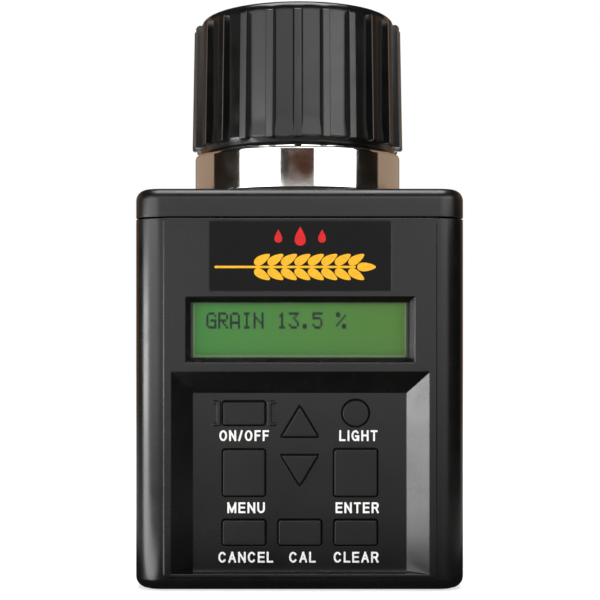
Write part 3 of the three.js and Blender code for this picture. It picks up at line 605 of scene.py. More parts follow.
# turned and polished metal: faint rings round the upright axis, and a few wider clouds of haze
def metal(name, dark, light, roughLow, roughHigh, rings=0.05, depth=0.0006):
    material, tree, shader, place = newMaterial(name)
    shader.inputs["Metallic"].default_value = 1.0
    link(tree, blended(tree, cloudy(tree, place, 20, 0, 1), dark, light), shader.inputs["Base Color"])
    link(tree, cloudy(tree, place, 5, roughLow, roughHigh, 4), shader.inputs["Roughness"])
    bumped(tree, shader, [(noise(tree, place, rings, 2, 0.6, (0.02, 0.02, 1)), depth)])
    return material


def printed(name, colour, rough=0.5):
    material, tree, shader, place = newMaterial(name)
    shader.inputs["Specular IOR Level"].default_value = 0.15
    worn = tuple(c * 0.82 for c in colour)
    link(tree, blended(tree, cloudy(tree, place, 1.2, 0, 1, 4), worn, colour), shader.inputs["Base Color"])
    link(tree, cloudy(tree, place, 2.5, rough * 0.85, rough * 1.15), shader.inputs["Roughness"])
    return material


# the display's green field, greener at the left and yellower at the right, with a painted glow: it gives off
# light of its own colour though no lamp lights it
def glowingGreenField():
    material, tree, shader, place = newMaterial("lcdField")
    across = addNode(tree, "ShaderNodeSeparateXYZ", {0: place})
    half = 32.4 * mm
    shade = ranged(tree, across.outputs["X"], 0, 1, -half, half)
    colour = blended(tree, shade, (0.043, 0.19, 0.036), (0.07, 0.165, 0.026))
    link(tree, colour, shader.inputs["Base Color"])
    link(tree, colour, shader.inputs["Emission Color"])
    # painted glow: the field shines by itself
    shader.inputs["Emission Strength"].default_value = 0.16
    shader.inputs["Specular IOR Level"].default_value = 0.08
    link(tree, cloudy(tree, place, 12, 0.3, 0.4), shader.inputs["Roughness"])
    return material


# a thin clear pane: what is behind it shows, and it mirrors a little, more at a slant
def clearPane():
    material, tree, shader, place = newMaterial("clearPane")
    tree.nodes.remove(shader)
    through = addNode(tree, "ShaderNodeBsdfTransparent", {"Color": (0.97, 0.99, 0.97, 1)})
    haze = cloudy(tree, place, 8, 0.04, 0.09)
    shine = addNode(tree, "ShaderNodeBsdfGlossy", {"Color": (1, 1, 1, 1), "Roughness": haze})
    facing = addNode(tree, "ShaderNodeFresnel", {"IOR": 1.24})
    mix = addNode(tree, "ShaderNodeMixShader", {
        0: facing.outputs[0], 1: through.outputs[0], 2: shine.outputs[0]})
    link(tree, mix.outputs[0], tree.nodes["Material Output"].inputs["Surface"])
    return material


casePair = ((0.0022, 0.0021, 0.002), (0.0032, 0.003, 0.0028))
finishes = {
    "case": plastic("satinCase", *casePair, 0.22, 0.29, depth=0.004),
    "cover": plastic("satinCover", *casePair, 0.26, 0.34, depth=0.004),
    "cap": plastic("glossCap", (0.003, 0.0027, 0.0025), (0.0042, 0.0038, 0.0034), 0.17, 0.27,
                   grain=0.4, depth=0.002),
    "key": plastic("satinKey", (0.0035, 0.0035, 0.0035), (0.005, 0.005, 0.005), 0.4, 0.48,
                   grain=0.18, level=0.38),
    "rubber": plastic("mattRubber", (0.02, 0.02, 0.02), (0.03, 0.03, 0.03), 0.7, 0.85, grain=0.3, depth=0.01),
    "label": plastic("labelFilm", (0.0035, 0.003, 0.003), (0.0045, 0.004, 0.004), 0.3, 0.36,
                     grain=0.3, depth=0.001, level=0.13),
    "steel": metal("polishedSteel", (0.68, 0.66, 0.63), (0.74, 0.72, 0.69), 0.05, 0.1),
    "zinc": metal("zincPlate", (0.42, 0.43, 0.45), (0.56, 0.57, 0.58), 0.28, 0.4, rings=0.3, depth=0.002),
    "spring": metal("springWire", (0.36, 0.37, 0.38), (0.46, 0.47, 0.48), 0.22, 0.34, rings=0.3,
                    depth=0.002),
    "acetal": plastic("whiteAcetal", (0.66, 0.64, 0.58), (0.74, 0.72, 0.66), 0.35, 0.45, grain=0.5,
                      depth=0.002),
    "board": plastic("solderMask", (0.01, 0.075, 0.03), (0.014, 0.1, 0.04), 0.25, 0.35, grain=0.5,
                     depth=0.004),
    "black": plastic("blackMoulding", (0.012, 0.012, 0.012), (0.02, 0.02, 0.02), 0.4, 0.55),
    "flex": plastic("flexStrip", (0.34, 0.15, 0.035), (0.42, 0.19, 0.045), 0.3, 0.4),
    "can": plastic("batteryCan", (0.03, 0.035, 0.05), (0.04, 0.045, 0.06), 0.25, 0.35, grain=1,
                   depth=0.002),
    "red": plastic("redWire", (0.35, 0.012, 0.01), (0.42, 0.016, 0.012), 0.35, 0.45),
    "guide": plastic("lightGuide", (0.55, 0.62, 0.5), (0.62, 0.7, 0.58), 0.3, 0.4),
    "white": printed("whiteInk", (0.78, 0.78, 0.77)),
    "yellow": printed("yellowInk", (0.7, 0.37, 0.018), 0.4),
    "redInk": printed("redInk", (0.52, 0.014, 0.016), 0.4),
    "dots": printed("lcdDots", (0.003, 0.022, 0.014), 0.4),
    # the light green of the display's rim, a painted highlight
    "edge": printed("lcdEdge", (0.2, 0.3, 0.13), 0.3),
    "field": glowingGreenField(),
    "pane": clearPane(),
}
print("materials mixed")

# case

frontLow, frontHigh = spanOf("front_shell")
backLow, backHigh = spanOf("back_shell")
coverHigh = spanOf("top_cover")[1]
labelLow, labelHigh = spanOf("front_label")

case = {
    "proud": 0.5,  # how far the front panel stands out
    "corner": 8.0,
    "edge": 3.3,
    "wall": 2.6,
    "panelHalf": 40.6,
    "panelLow": 3.9,
    "panelCorner": 1.0,
    "panelSunk": 0.4,
    "labelFit": 0.3,
    "coverWall": 3.0,
    "lip": 1.6,
    "seam": 0.4,
    "rounding": 0.22,
}
well = {"half": 38.5, "top": 65.2, "low": 5.0, "depth": 5.4, "bevel": 6.45, "wall": 2.0}
window = {"z": 77.6, "width": 68.3, "height": 19.6, "inset": 1.5, "sill": 2.4}
width = frontHigh.x - frontLow.x
panelY = frontLow.y
faceY = panelY + case["proud"]
backY = backHigh.y
caseTop = coverHigh.z
seamLow, seamHigh = frontHigh.z, frontHigh.z + case["seam"]
innerY = faceY + case["wall"]
floorY = panelY + well["depth"]


# the whole case outside, with rounded corners and edges, grown or shrunk by an offset
def caseBlock(name, offset):
    edge = max(case["edge"] + offset, 0.6)
    corner = case["corner"] + offset
    wide, deep = width + 2 * offset, backY - faceY + 2 * offset
    low, high = -offset, caseTop + offset
    middle = (backY + faceY) / 2
    rings, steps = [], 7
    for i in range(steps + 1):
        turn = math.radians(90 * i / steps)
        inset = edge * (1 - math.sin(turn))
        z = low + edge * (1 - math.cos(turn))
        rings.append((inset, z))
    rings += [(inset, high - (z - low)) for inset, z in reversed(rings)]
    loops = []
    for inset, z in rings:
        outline = roundedOutline(wide - 2 * inset, deep - 2 * inset, corner - inset, 12, 0, middle)
        loops.append([(x, y, z) for x, y in outline])
    return skinned(name, loops)


def wellBlock(name, grow, y0, y1):
    slope = well["bevel"] / well["depth"]
    faces = []
    for y in (y0, y1):
        inset = (y - panelY) * slope
        half = well["half"] + grow - inset
        faces.append((-half, half, well["low"] - grow, well["top"] + grow - inset))
    return taperY(name, faces[0], faces[1], y0, y1)


keys = {
    "power_key": {"kind": "bar", "soft": 0.6},
    "light_key": {"kind": "round"},
    "menu_key": {"kind": "bar", "soft": 0.6},
    "enter_key": {"kind": "bar", "soft": 0.6},
    "up_key": {"kind": "arrow", "points": 1},
    "down_key": {"kind": "arrow", "points": -1},
    "cancel_key": {"kind": "bar", "soft": 0.6},
    "calibrate_key": {"kind": "bar", "soft": 0.6},
    "clear_key": {"kind": "bar", "soft": 0.6},
}
keyPlan = {
    "flange": 1.0, "fit": 0.35, "edge": 0.35, "flangeFront": floorY + 2.2, "proud": 1.2,
    "arrowWidth": 10.8, "arrowHeight": 9.0, "arrowSoft": 0.5, "crown": 1.5, "arrowCrown": 1.2,
}
# the brackets beside the power key: how far off it, and each one's sizes
guard = {
    "off": 1.0, "reach": 1.9, "halfWide": 0.55, "halfTall": 3.7, "front": 1.3, "sunk": 0.5,
    "tickAt": 3.3, "tickHalf": 0.41,
}


# a key's outline in x and z, grown by an offset from its visible top
def keyOutline(name, offset):
    kind = keys[name]
    low, high = spanOf(name)
    flange = keyPlan["flange"]
    cx, cz = (low.x + high.x) / 2, (low.z + high.z) / 2
    if kind["kind"] == "round":
        r = (high.x - low.x) / 2 - flange + offset
        return arc(cx, cz, r, 0, 352.5, 47)
    if kind["kind"] == "bar":
        wide = high.x - low.x - 2 * flange + 2 * offset
        tall = high.z - low.z - 2 * flange + 2 * offset
        return roundedOutline(wide, tall, kind["soft"] + offset, 5, cx, cz)
    wide, tall, up = keyPlan["arrowWidth"], keyPlan["arrowHeight"], kind["points"]
    slope = math.atan2(tall, wide / 2)
    base = low.z + flange if up > 0 else high.z - flange
    half = wide / 2 + offset / math.tan(slope / 2)
    foot = base - up * offset
    tip = foot + up * half * math.tan(slope)
    corners = [(cx - half, foot), (cx + half, foot), (cx, tip)]
    if up < 0:
        corners.reverse()
    return roundedCorners(corners, keyPlan["arrowSoft"], 4)


def roundedCorners(corners, r, steps):
    out = []
    for i, corner in enumerate(corners):
        here = Vector(corner)
        a = (Vector(corners[i - 1]) - here).normalized() * r
        b = (Vector(corners[(i + 1) % len(corners)]) - here).normalized() * r
        for k in range(steps + 1):
            t = k / steps
            out.append(tuple((here + a) * (1 - t) ** 2 + here * 2 * t * (1 - t) + (here + b) * t ** 2))
    return out


big = 200  # far past every face of the case
over = 1  # how far a cutter runs past the face that it opens


def makeFront():
    shell = caseBlock("caseFront", 0)
    carve(shell, [
        caseBlock("inside", -case["wall"]),
        block("behind", -big, big, frontHigh.y, big, -big, big),
        block("above", -big, big, -big, big, seamLow, big),
    ])
    height = seamLow - case["panelLow"]
    middle = case["panelLow"] + height / 2
    panel = roundedOutline(2 * case["panelHalf"], height, case["panelCorner"], 5, 0, middle)
    carve(shell, [slabY("panel", panel, panelY, innerY - case["panelSunk"])], "UNION")
    tub = wellBlock("tub", well["wall"], innerY - over, floorY + well["wall"])
    carve(shell, [tub], "UNION")
    inset, sill = window["inset"], window["sill"]

    def rectangle(wide, tall):
        return (-wide / 2, wide / 2, window["z"] - tall / 2, window["z"] + tall / 2)

    flare = 2 * inset * over / sill
    outer = rectangle(window["width"] + flare, window["height"] + flare)
    inner = rectangle(window["width"] - 2 * inset, window["height"] - 2 * inset)
    fit = case["labelFit"]
    label = roundedOutline(labelHigh.x - labelLow.x + fit, labelHigh.z - labelLow.z + fit, 0.6, 3,
                           0, (labelLow.z + labelHigh.z) / 2)
    cutters = [
        wellBlock("hollow", 0, panelY - over, floorY),
        taperY("sill", outer, inner, panelY - over, panelY + sill),
        block("throat", inner[0], inner[1], panelY, innerY + over, inner[2], inner[3]),
        slabY("labelPocket", label, panelY - over, labelHigh.y),
    ]
    for name in keys:
        hole = keyOutline(name, keyPlan["fit"])
        cutters.append(slabY("opening", hole, floorY - over, floorY + well["wall"] + over))
    carve(shell, cutters)
    low, high = spanOf("power_key")
    guards = []
    middle = (low.z + high.z) / 2
    front, back = floorY - guard["front"], floorY + guard["sunk"]
    g, flange = guard, keyPlan["flange"]
    for side, x in ((-1, low.x + flange), (1, high.x - flange)):
        bar = x + side * (keyPlan["fit"] + g["off"])
        end = bar + side * g["reach"]
        guards.append(block("guard", bar - g["halfWide"], bar + g["halfWide"], front, back,
                            middle - g["halfTall"], middle + g["halfTall"]))
        for z in (middle - g["tickAt"], middle + g["tickAt"]):
            guards.append(block("tick", min(bar, end), max(bar, end), front + 0.001, back,
                                z - g["tickHalf"], z + g["tickHalf"]))
    carve(shell, guards, "UNION")

    def outside(middle, length):
        if middle.y > floorY + 0.3:
            return False
        inLabel = abs(middle.x) < labelHigh.x + 0.4 and middle.z > labelLow.z - 0.4
        return not (inLabel and middle.y > panelY + 0.1)

    edged(shell, case["rounding"], outside)
    dress(shell, finishes["case"], "case", ["front_shell"])


makeFront()
print("front shell cut")


coverPlan = {
    "lipFit": 0.3, "lipCorner": 5, "lipReach": 3.4, "insideCorner": 3.4, "weld": 0.2, "holeFit": 0.3,
    "soft": 0.3,
}


def makeCover():
    cover = caseBlock("caseCover", 0)
    inner = caseBlock("inside", -case["wall"])
    carve(inner, [block("above", -big, big, -big, big, caseTop - case["coverWall"], big)])
    carve(cover, [inner, block("below", -big, big, -big, big, -big, seamHigh)])
    middle = (backY + faceY) / 2
    wall, fit, weld = case["wall"], coverPlan["lipFit"], coverPlan["weld"]
    lipIn = wall + fit + case["lip"]
    wide, deep = width, backY - faceY
    outerLow = roundedOutline(wide - 2 * wall - 2 * fit, deep - 2 * wall - 2 * fit,
                              coverPlan["lipCorner"], 8, 0, middle)
    outerHigh = roundedOutline(wide - 2 * wall + 2 * weld, deep - 2 * wall + 2 * weld,
                               coverPlan["lipCorner"] + 2 * weld, 8, 0, middle)
    inside = roundedOutline(wide - 2 * lipIn, deep - 2 * lipIn, coverPlan["insideCorner"], 8, 0, middle)
    lip = prism("lip", outerLow, seamLow - coverPlan["lipReach"], seamHigh + weld)
    carve(lip, [prism("lipHigh", outerHigh, seamHigh, caseTop - case["coverWall"] + 0.1)], "UNION")
    carve(lip, [prism("lipInside", inside, 0, caseTop)])
    carve(cover, [lip], "UNION")
    cupR = spanOf("cell_base")[1].x
    hole = arc(0, 0, cupR + coverPlan["holeFit"], 0, 357, 119)
    carve(cover, [prism("hole", hole, 0, caseTop + over)])
    edged(cover, coverPlan["soft"], lambda middle, length: abs(middle.z - seamHigh) < 0.2 and length > 0.05)
    dress(cover, finishes["cover"], "case", ["top_cover"])


makeCover()
print("top cover cut")

rear = {
    "bayHalf": 29.2, "bayLow": 16.2, "bayHigh": 44.3, "bayFront": 13.9, "bayWall": 1.6,
    "rebate": 1.3, "doorThick": 2.1, "doorClear": 0.3, "tabX": 18, "tabWidth": 8,
    "plateWidth": 56, "plateHeight": 34, "plateZ": 77, "plateDepth": 0.4,
    "screwHole": 3.4, "screwClear": 1.8, "screwSeat": 14, "postR": 4.3, "upperPost": 1.8, "postSunk": 1,
    "thumbR": 7, "thumbDepth": 1.1, "plateCorner": 2, "slotDepth": 5.4, "slotClear": 0.3,
    "gateX": (24.6, 28.4), "gateZ": (26.5, 33.5),
}
doorPlan = {
    "rearward": 0.8, "hookDepth": 1.5, "armTop": 1.9, "armThick": 1.6, "hookDrop": 1.9,
    "gripHalf": 9, "gripDepth": 0.5, "gripPitch": 2.4, "gripStart": 5, "gripTall": 1, "grips": 4,
}
screwNames = [f"case_screw_{i}" for i in (1, 2, 3, 4)]


def middleOf(node):
    low, high = spanOf(node)
    return (low + high) / 2


def makeBack():
    half, low, high, front, wall = (rear[k] for k in ("bayHalf", "bayLow", "bayHigh", "bayFront", "bayWall"))
    shell = caseBlock("caseBack", 0)
    carve(shell, [
        caseBlock("inside", -case["wall"]),
        block("before", -big, big, -big, backLow.y, -big, big),
        block("above", -big, big, -big, big, seamLow, big),
    ])
    posts = []
    for name in screwNames:
        place = middleOf(name)
        start = rear["upperPost"] if place.z > caseTop / 2 else backLow.y
        posts.append(rodY("post", place.x, place.z, rear["postR"], start, backY - rear["postSunk"]))
    tub = block("tub", -half - wall, half + wall, front - wall, backY - rear["postSunk"],
                low - wall, high + wall)
    carve(shell, [tub, *posts], "UNION")
    rebate = rear["rebate"]
    plate = roundedOutline(rear["plateWidth"], rear["plateHeight"], rear["plateCorner"], 6, 0, rear["plateZ"])
    cutters = [
        block("bay", -half, half, front, backY + over, low, high),
        block("rebate", -half - rebate, half + rebate, backY - rear["doorThick"] - 0.1, backY + over,
              low - rebate, high + rebate),
        rodY("thumb", 0, high + rebate, rear["thumbR"], backY - rear["thumbDepth"], backY + over, 48),
        block("wireGate", *rear["gateX"], front - 2 * wall, front + over, *rear["gateZ"]),
        slabY("plate", plate, backY - rear["plateDepth"], backY + over),
    ]
    for side in (-1, 1):
        x, reach = side * rear["tabX"], rear["tabWidth"] / 2 + rear["slotClear"]
        cutters.append(block("slot", x - reach, x + reach, backY - rear["slotDepth"],
                             backY - case["wall"] - 0.1, low - wall - over, low + over))
    for name in screwNames:
        place = middleOf(name)
        cutters.append(rodY("head", place.x, place.z, rear["screwHole"], rear["screwSeat"], backY + over))
        cutters.append(rodY("clear", place.x, place.z, rear["screwClear"], -over,
                            rear["screwSeat"] + over, 24))
    carve(shell, cutters)
    edged(shell, case["rounding"], lambda middle, length: middle.y > backY - 2.8 and length > 0.05)
    dress(shell, finishes["case"], "case", ["back_shell"])


def makeDoor():
    rebate, clear = rear["rebate"], rear["doorClear"]
    half = rear["bayHalf"] + rebate - clear
    low, high = rear["bayLow"] - rebate + clear, rear["bayHigh"] + rebate - clear
    face = backY - rear["doorThick"]
    door = block("batteryDoor", -half, half, face, backY, low, high)
    d, tabs, hair = doorPlan, [], 0.001
    rearY = face - d["rearward"]
    top = rear["bayLow"] + d["armTop"]
    for side in (-1, 1):
        x, reach = side * rear["tabX"], rear["tabWidth"] / 2
        tabs.append(block("arm", x - reach, x + reach, rearY - d["hookDepth"], face + 0.1,
                          top - d["armThick"], top))
        tabs.append(block("hook", x - reach + hair, x + reach - hair, rearY - d["hookDepth"] - hair, rearY,
                          low - d["hookDrop"], top - hair))
    carve(door, tabs, "UNION")
    grips = []
    for i in range(d["grips"]):
        foot = high - d["gripStart"] - i * d["gripPitch"]
        grips.append(block("grip", -d["gripHalf"], d["gripHalf"], backY - d["gripDepth"], backY + over,
                           foot, foot + d["gripTall"]))
    carve(door, grips)
    edged(door, case["rounding"], lambda middle, length: middle.y > backY - 0.1)
    dress(door, finishes["case"], "battery_door", ["battery_door"])


makeBack()
makeDoor()
print("back and door cut")


# keys

def makeKey(name):
    top = floorY - keyPlan["proud"]
    flangeY = keyPlan["flangeFront"]
    backFace = spanOf(name)[1].y
    outline = keyOutline(name, 0)
    shrunk = keyOutline(name, -keyPlan["edge"])
    rings = []
    steps = 4
    rings.append([(x, flangeY + 0.1, z) for x, z in outline])
    for i in range(steps + 1):
        turn = math.radians(90 * i / steps)
        share = 1 - math.cos(turn)
        y = top + keyPlan["edge"] * (1 - math.sin(turn))
        pairs = zip(outline, shrunk)
        rings.append([(x + (sx - x) * share, y, z + (sz - z) * share) for (x, z), (sx, sz) in pairs])
    crown = keyOutline(name, -keyPlan["arrowCrown" if keys[name]["kind"] == "arrow" else "crown"])
    rings.append([(x, top, z) for x, z in crown])
    key = skinned(name + "_cap", rings)
    flange = slabY("flange", keyOutline(name, keyPlan["flange"]), flangeY, backFace)
    carve(key, [flange], "UNION")
    outward(key)
    levelled(key)
    dress(key, finishes["key"], name, [name])


for name in keys:
    makeKey(name)
print("keys made")

# printed words and signs

legends = {
    "tall": 3.25, "stroke": 0.56, "gap": 0.62, "thick": 0.02,
    "words": [
        ("ON/OFF", -16.75, 45.85, 14.9), ("LIGHT", 17.65, 45.85, 11.5), ("MENU", -16.15, 24.15, 11.3),
        ("ENTER", 17.3, 24.15, 13.0), ("CANCEL", -16.25, 9.25, 16.5), ("CAL", 0.8, 9.25, 8.0),
        ("CLEAR", 16.95, 9.25, 13.5),
    ],
}


def bow(cx, cy, rx, ry, start, end, steps=14):
    turns = [math.radians(start + (end - start) * i / steps) for i in range(steps + 1)]
    return [(cx + rx * math.cos(turn), cy + ry * math.sin(turn)) for turn in turns]


# each letter's strokes run inside a square from 0 to 1, with the width it takes beside the others
letters = {
    "O": (1.12, [bow(0.5, 0.5, 0.5, 0.5, 0, 360, 32)]),
    "N": (1, [[(0, 0), (0, 1)], [(0, 1), (1, 0)], [(1, 0), (1, 1)]]),
    "/": (0.5, [[(0, 0), (1, 1)]]),
    "F": (0.82, [[(0, 0), (0, 1)], [(0, 1), (1, 1)], [(0, 0.52), (0.88, 0.52)]]),
    "L": (0.8, [[(0, 1), (0, 0)], [(0, 0), (1, 0)]]),
    "I": (0, [[(0, 0), (0, 1)]]),
    "G": (1.1, [bow(0.5, 0.5, 0.5, 0.5, 42, 352, 28), [(1, 0.44), (0.6, 0.44)], [(1, 0.44), (1, 0)]]),
    "H": (1, [[(0, 0), (0, 1)], [(1, 0), (1, 1)], [(0, 0.52), (1, 0.52)]]),
    "T": (0.92, [[(0, 1), (1, 1)], [(0.5, 1), (0.5, 0)]]),
    "M": (1.22, [[(0, 0), (0, 1)], [(0, 1), (0.5, 0.06)], [(0.5, 0.06), (1, 1)], [(1, 1), (1, 0)]]),
    "E": (0.88, [[(0, 0), (0, 1)], [(0, 1), (1, 1)], [(0, 0.52), (0.92, 0.52)], [(0, 0), (1, 0)]]),
    "U": (0.98, [[(0, 1), (0, 0.38)] + bow(0.5, 0.38, 0.5, 0.38, 180, 360) + [(1, 0.38), (1, 1)]]),
    "R": (0.96, [[(0, 0), (0, 1)],
                 [(0, 1), (0.66, 1)] + bow(0.66, 0.745, 0.32, 0.255, 90, -90) + [(0, 0.49)],
                 [(0.6, 0.49), (1, 0)]]),
    "C": (1.06, [bow(0.5, 0.5, 0.5, 0.5, 42, 318, 28)]),
    "A": (1.02, [[(0, 0), (0.5, 1)], [(0.5, 1), (1, 0)], [(0.2, 0.33), (0.8, 0.33)]]),
}


# a line of even width with square ends, as an outline round its points
def strokeOutline(points, wide):
    points = [p for i, p in enumerate(points) if i == 0 or math.dist(p, points[i - 1]) > 1e-6]
    looped = math.dist(points[0], points[-1]) < 1e-4
    sides = ([], [])
    for i, point in enumerate(points):
        here = Vector(point)
        before = Vector(points[i - 1]) if i else (Vector(points[-2]) if looped else None)
        after = Vector(points[i + 1]) if i + 1 < len(points) else (Vector(points[1]) if looped else None)
        come = (here - before).normalized() if before is not None else (after - here).normalized()
        go = (after - here).normalized() if after is not None else come
        along = (come + go).normalized()
        across = Vector((-along.y, along.x)) * (wide / 2 / max(along.dot(go), 0.5))
        end = Vector((0, 0))
        if before is None or after is None:
            end = along * (wide / 2) * (-1 if before is None else 1)
        sides[0].append(tuple(here + across + end))
        sides[1].append(tuple(here - across + end))
    return sides


# a word's strokes as flat slabs on an upright face, its middle at x and z
def wordPieces(text, x, z, y, wide):
    p = legends
    shares = [letters[mark][0] for mark in text]
    gaps = (len(text) - 1) * p["gap"] + len(text) * p["stroke"]
    unit = (wide - gaps) / sum(shares)
    tall = p["tall"] - p["stroke"]
    at = x - wide / 2 + p["stroke"] / 2
    pieces = []
    for mark, share in zip(text, shares):
        for k, points in enumerate(letters[mark][1]):
            places = [(at + px * share * unit, z + (py - 0.5) * tall) for px, py in points]
            pieces.append(strokeSlab(places, p["stroke"], y - p["thick"] * (1 - 0.04 * k), y + 0.01))
        at += share * unit + p["stroke"] + p["gap"]
    return pieces


def strokeSlab(points, wide, front, back):
    left, right = strokeOutline(points, wide)
    rings = []
    for (lx, lz), (rx, rz) in zip(left, right):
        rings.append([(lx, front, lz), (rx, front, rz), (rx, back, rz), (lx, back, lz)])
    return skinned("stroke", rings)


def makeLegends():
    pieces = []
    for text, x, z, wide in legends["words"]:
        pieces += wordPieces(text, x, z, floorY, wide)
    piece = outward(joined(*pieces))
    piece.name = "keyLegends"
    dress(piece, finishes["white"], "case")


makeLegends()

label = {
    "corner": 0.5, "ink": 0.02, "sunk": 0.05, "earLength": 33, "grains": 8, "grainPitch": 4.0,
    "earBelow": 3.2, "grainOff": 2.3, "grain": (5.4, 2.5), "tip": (5.6, 2.5), "lean": 32, "stalk": 0.7,
    "drops": ((-1, 3.2), (0, 4.6), (1, 3.2)), "dropPitch": 6.5, "dropAbove": 6.0,
}


# a grain: a pointed oval leaning away from the stalk
def grainOutline(cx, cz, length, wide, lean):
    points = []
    turn = math.radians(lean)
    for i in range(24):
        a = 2 * math.pi * i / 24
        u = length / 2 * math.cos(a)
        v = wide / 2 * math.sin(a) * (1 - 0.35 * math.cos(a))
        points.append((cx + u * math.cos(turn) - v * math.sin(turn),
                       cz + u * math.sin(turn) + v * math.cos(turn)))
    return points


def dropOutline(cx, cz, size):
    points = []
    for i in range(32):
        a = 2 * math.pi * i / 32
        r = size / 2
        x = r * math.sin(a) * (math.sin(a / 2) ** 1.4)
        points.append((cx - x, cz + r * math.cos(a) * 1.25))
    return points


def makeLabel():
    middle = (labelLow + labelHigh) / 2
    wide, tall = labelHigh.x - labelLow.x, labelHigh.z - labelLow.z
    outline = roundedOutline(wide, tall, label["corner"], 4, 0, middle.z)
    plate = slabY("frontLabel", outline, labelLow.y, labelHigh.y)
    dress(smooth(plate), finishes["label"], "case", ["front_label"])
    y, ink, sunk, p = labelLow.y, label["ink"], label["sunk"], label
    parts = []
    z = middle.z - p["earBelow"]
    for i in range(p["grains"]):
        x = middle.x - p["earLength"] / 2 + 4 + i * p["grainPitch"]
        for side in (-1, 1):
            outline = grainOutline(x + 1.2, z + side * p["grainOff"], *p["grain"], side * p["lean"])
            parts.append(slabY("grain", outline, y - ink, y + sunk))
    tip = grainOutline(middle.x + p["earLength"] / 2 + 3.2, z, *p["tip"], 0)
    parts.append(slabY("grain", tip, y - ink, y + sunk))
    stalk = roundedOutline(p["earLength"] + 9, p["stalk"], 0.3, 3, middle.x - 4.5, z)
    parts.append(slabY("stalk", stalk, y - ink * 0.6, y + sunk))
    ear = outward(joined(*parts))
    ear.name = "labelEar"
    dress(ear, finishes["yellow"], "case")
    drops = []
    for i, size in p["drops"]:
        outline = dropOutline(middle.x + i * p["dropPitch"], middle.z + p["dropAbove"], size)
        drops.append(slabY("drop", outline, y - ink, y + sunk))
    drop = outward(joined(*drops))
    drop.name = "labelDrops"
    dress(drop, finishes["redInk"], "case")


makeLabel()
print("label and legends printed")

# display

glyphs = {
    "G": "01110 10001 10000 10111 10001 10001 01111",
    "R": "11110 10001 10001 11110 10100 10010 10001",
    "A": "01110 10001 10001 10001 11111 10001 10001",
    "I": "01110 00100 00100 00100 00100 00100 01110",
    "N": "10001 10001 11001 10101 10011 10001 10001",
    "1": "00100 01100 00100 00100 00100 00100 01110",
    "3": "11111 00010 00100 00010 00001 10001 01110",
    "5": "11111 10000 11110 00001 00001 10001 01110",
    ".": "00000 00000 00000 00000 00000 01100 01100",
    "%": "11000 11001 00010 00100 01000 10011 00011",
}
reading = {
    "text": "GRAIN 13.5 %", "pitchX": 3.55, "dotX": 0.6, "dotZ": 0.7,
    "fill": 1.1, "viewWidth": 64.2, "viewHeight": 16.3, "thick": 0.03, "topLeft": (-28.1, 82.95),
}


def dotPlaces():
    places = []
    y = spanOf("lcd_glass")[0].y - 0.02
    left, top = reading["topLeft"]
    for column, letter in enumerate(reading["text"]):
        for k, line in enumerate(glyphs.get(letter, "").split()):
            for i, mark in enumerate(line):
                if mark == "1":
                    x = left + column * reading["pitchX"] + (i + 0.5) * reading["dotX"]
                    places.append((x, y, top - (k + 0.5) * reading["dotZ"]))
    return places


def makeDots(name, material, thick):
    fill = reading["fill"]
    half = (reading["dotX"] * fill / 2, reading["dotZ"] * fill / 2)
    dot = block("dot", -half[0], half[0], 0, thick, -half[1], half[1])
    piece = meshObject(name, dotPlaces(), [])
    grown(piece, "scatter", Copy=dot, Material=material)
    thrownAway(dot)
    dress(piece, material, "case")


def makeDisplay():
    makeDots("lcdDigits", finishes["dots"], reading["thick"])
    y = spanOf("lcd_glass")[0].y
    wide, tall = reading["viewWidth"], reading["viewHeight"]

    def ringOf(name, outer, inner, front, lift):
        outline = roundedOutline(wide + outer, tall + outer, 0.3, 3, 0, window["z"])
        ring = slabY(name, outline, front, y - 0.02)
        hole = roundedOutline(wide + inner, tall + inner + lift, 0.3, 3, 0, window["z"] + lift)
        carve(ring, [slabY("hole", hole, y - 1, y + 1)])
        return edged(ring, 0.05)

    mask = ringOf("lcdMask", 2.6, 0, y - 0.2, 0)
    dress(mask, finishes["black"], "case")
    # a painted highlight: a light green ring along the sides and the foot of the view, where the glass edge
    # catches light, and none along the top
    rim = ringOf("lcdRim", 0.1, -0.9, y - 0.12, 0.5)
    dress(rim, finishes["edge"], "case")


makeDisplay()
print("display lit")

# test cell

neckLow, neckHigh = spanOf("cell_cup")
cell = {
    "boreR": 25.4, "cupR": 27.4, "neckR": 32.9, "spigotR": 27.3, "neckHeight": 12.9,
    "crestR": 28.5, "rootWidth": 1.5, "crestWidth": 0.9, "lead": 6.0, "turns": 1.75, "starts": 2,
    "firstThread": 2.4, "sink": 0.5, "clear": 0.35,
}
neckBottom = caseTop + 0.7
neckTop = neckBottom + cell["neckHeight"]


# a closed loop of edges to sweep: x outwards from the axis, y upwards
def sectionLoop(name, corners):
    count = len(corners)
    edges = [(i, (i + 1) % count) for i in range(count)]
    return meshObject(name, [(x, y, 0) for x, y in corners], [], edges)


def threadRidges(name, rootR, crestR, start, turnOffset, material):
    middleR = (rootR + crestR) / 2
    deep = abs(crestR - rootR) / 2
    side = 1 if crestR > rootR else -1
    root, crest = cell["rootWidth"] / 2, cell["crestWidth"] / 2
    ridge = sectionLoop(name, [
        (-side * deep, -root), (side * deep, -crest), (side * deep, crest), (-side * deep, root)])
    grown(ridge, "helix", Radius=middleR * mm, Rise=cell["lead"] * cell["turns"] * mm, Turns=cell["turns"],
          Steps=48, Low=start * mm, Material=material)
    grown(ridge, "ring", Count=cell["starts"], Turn=turnOffset, Material=material)
    return outward(ridge)


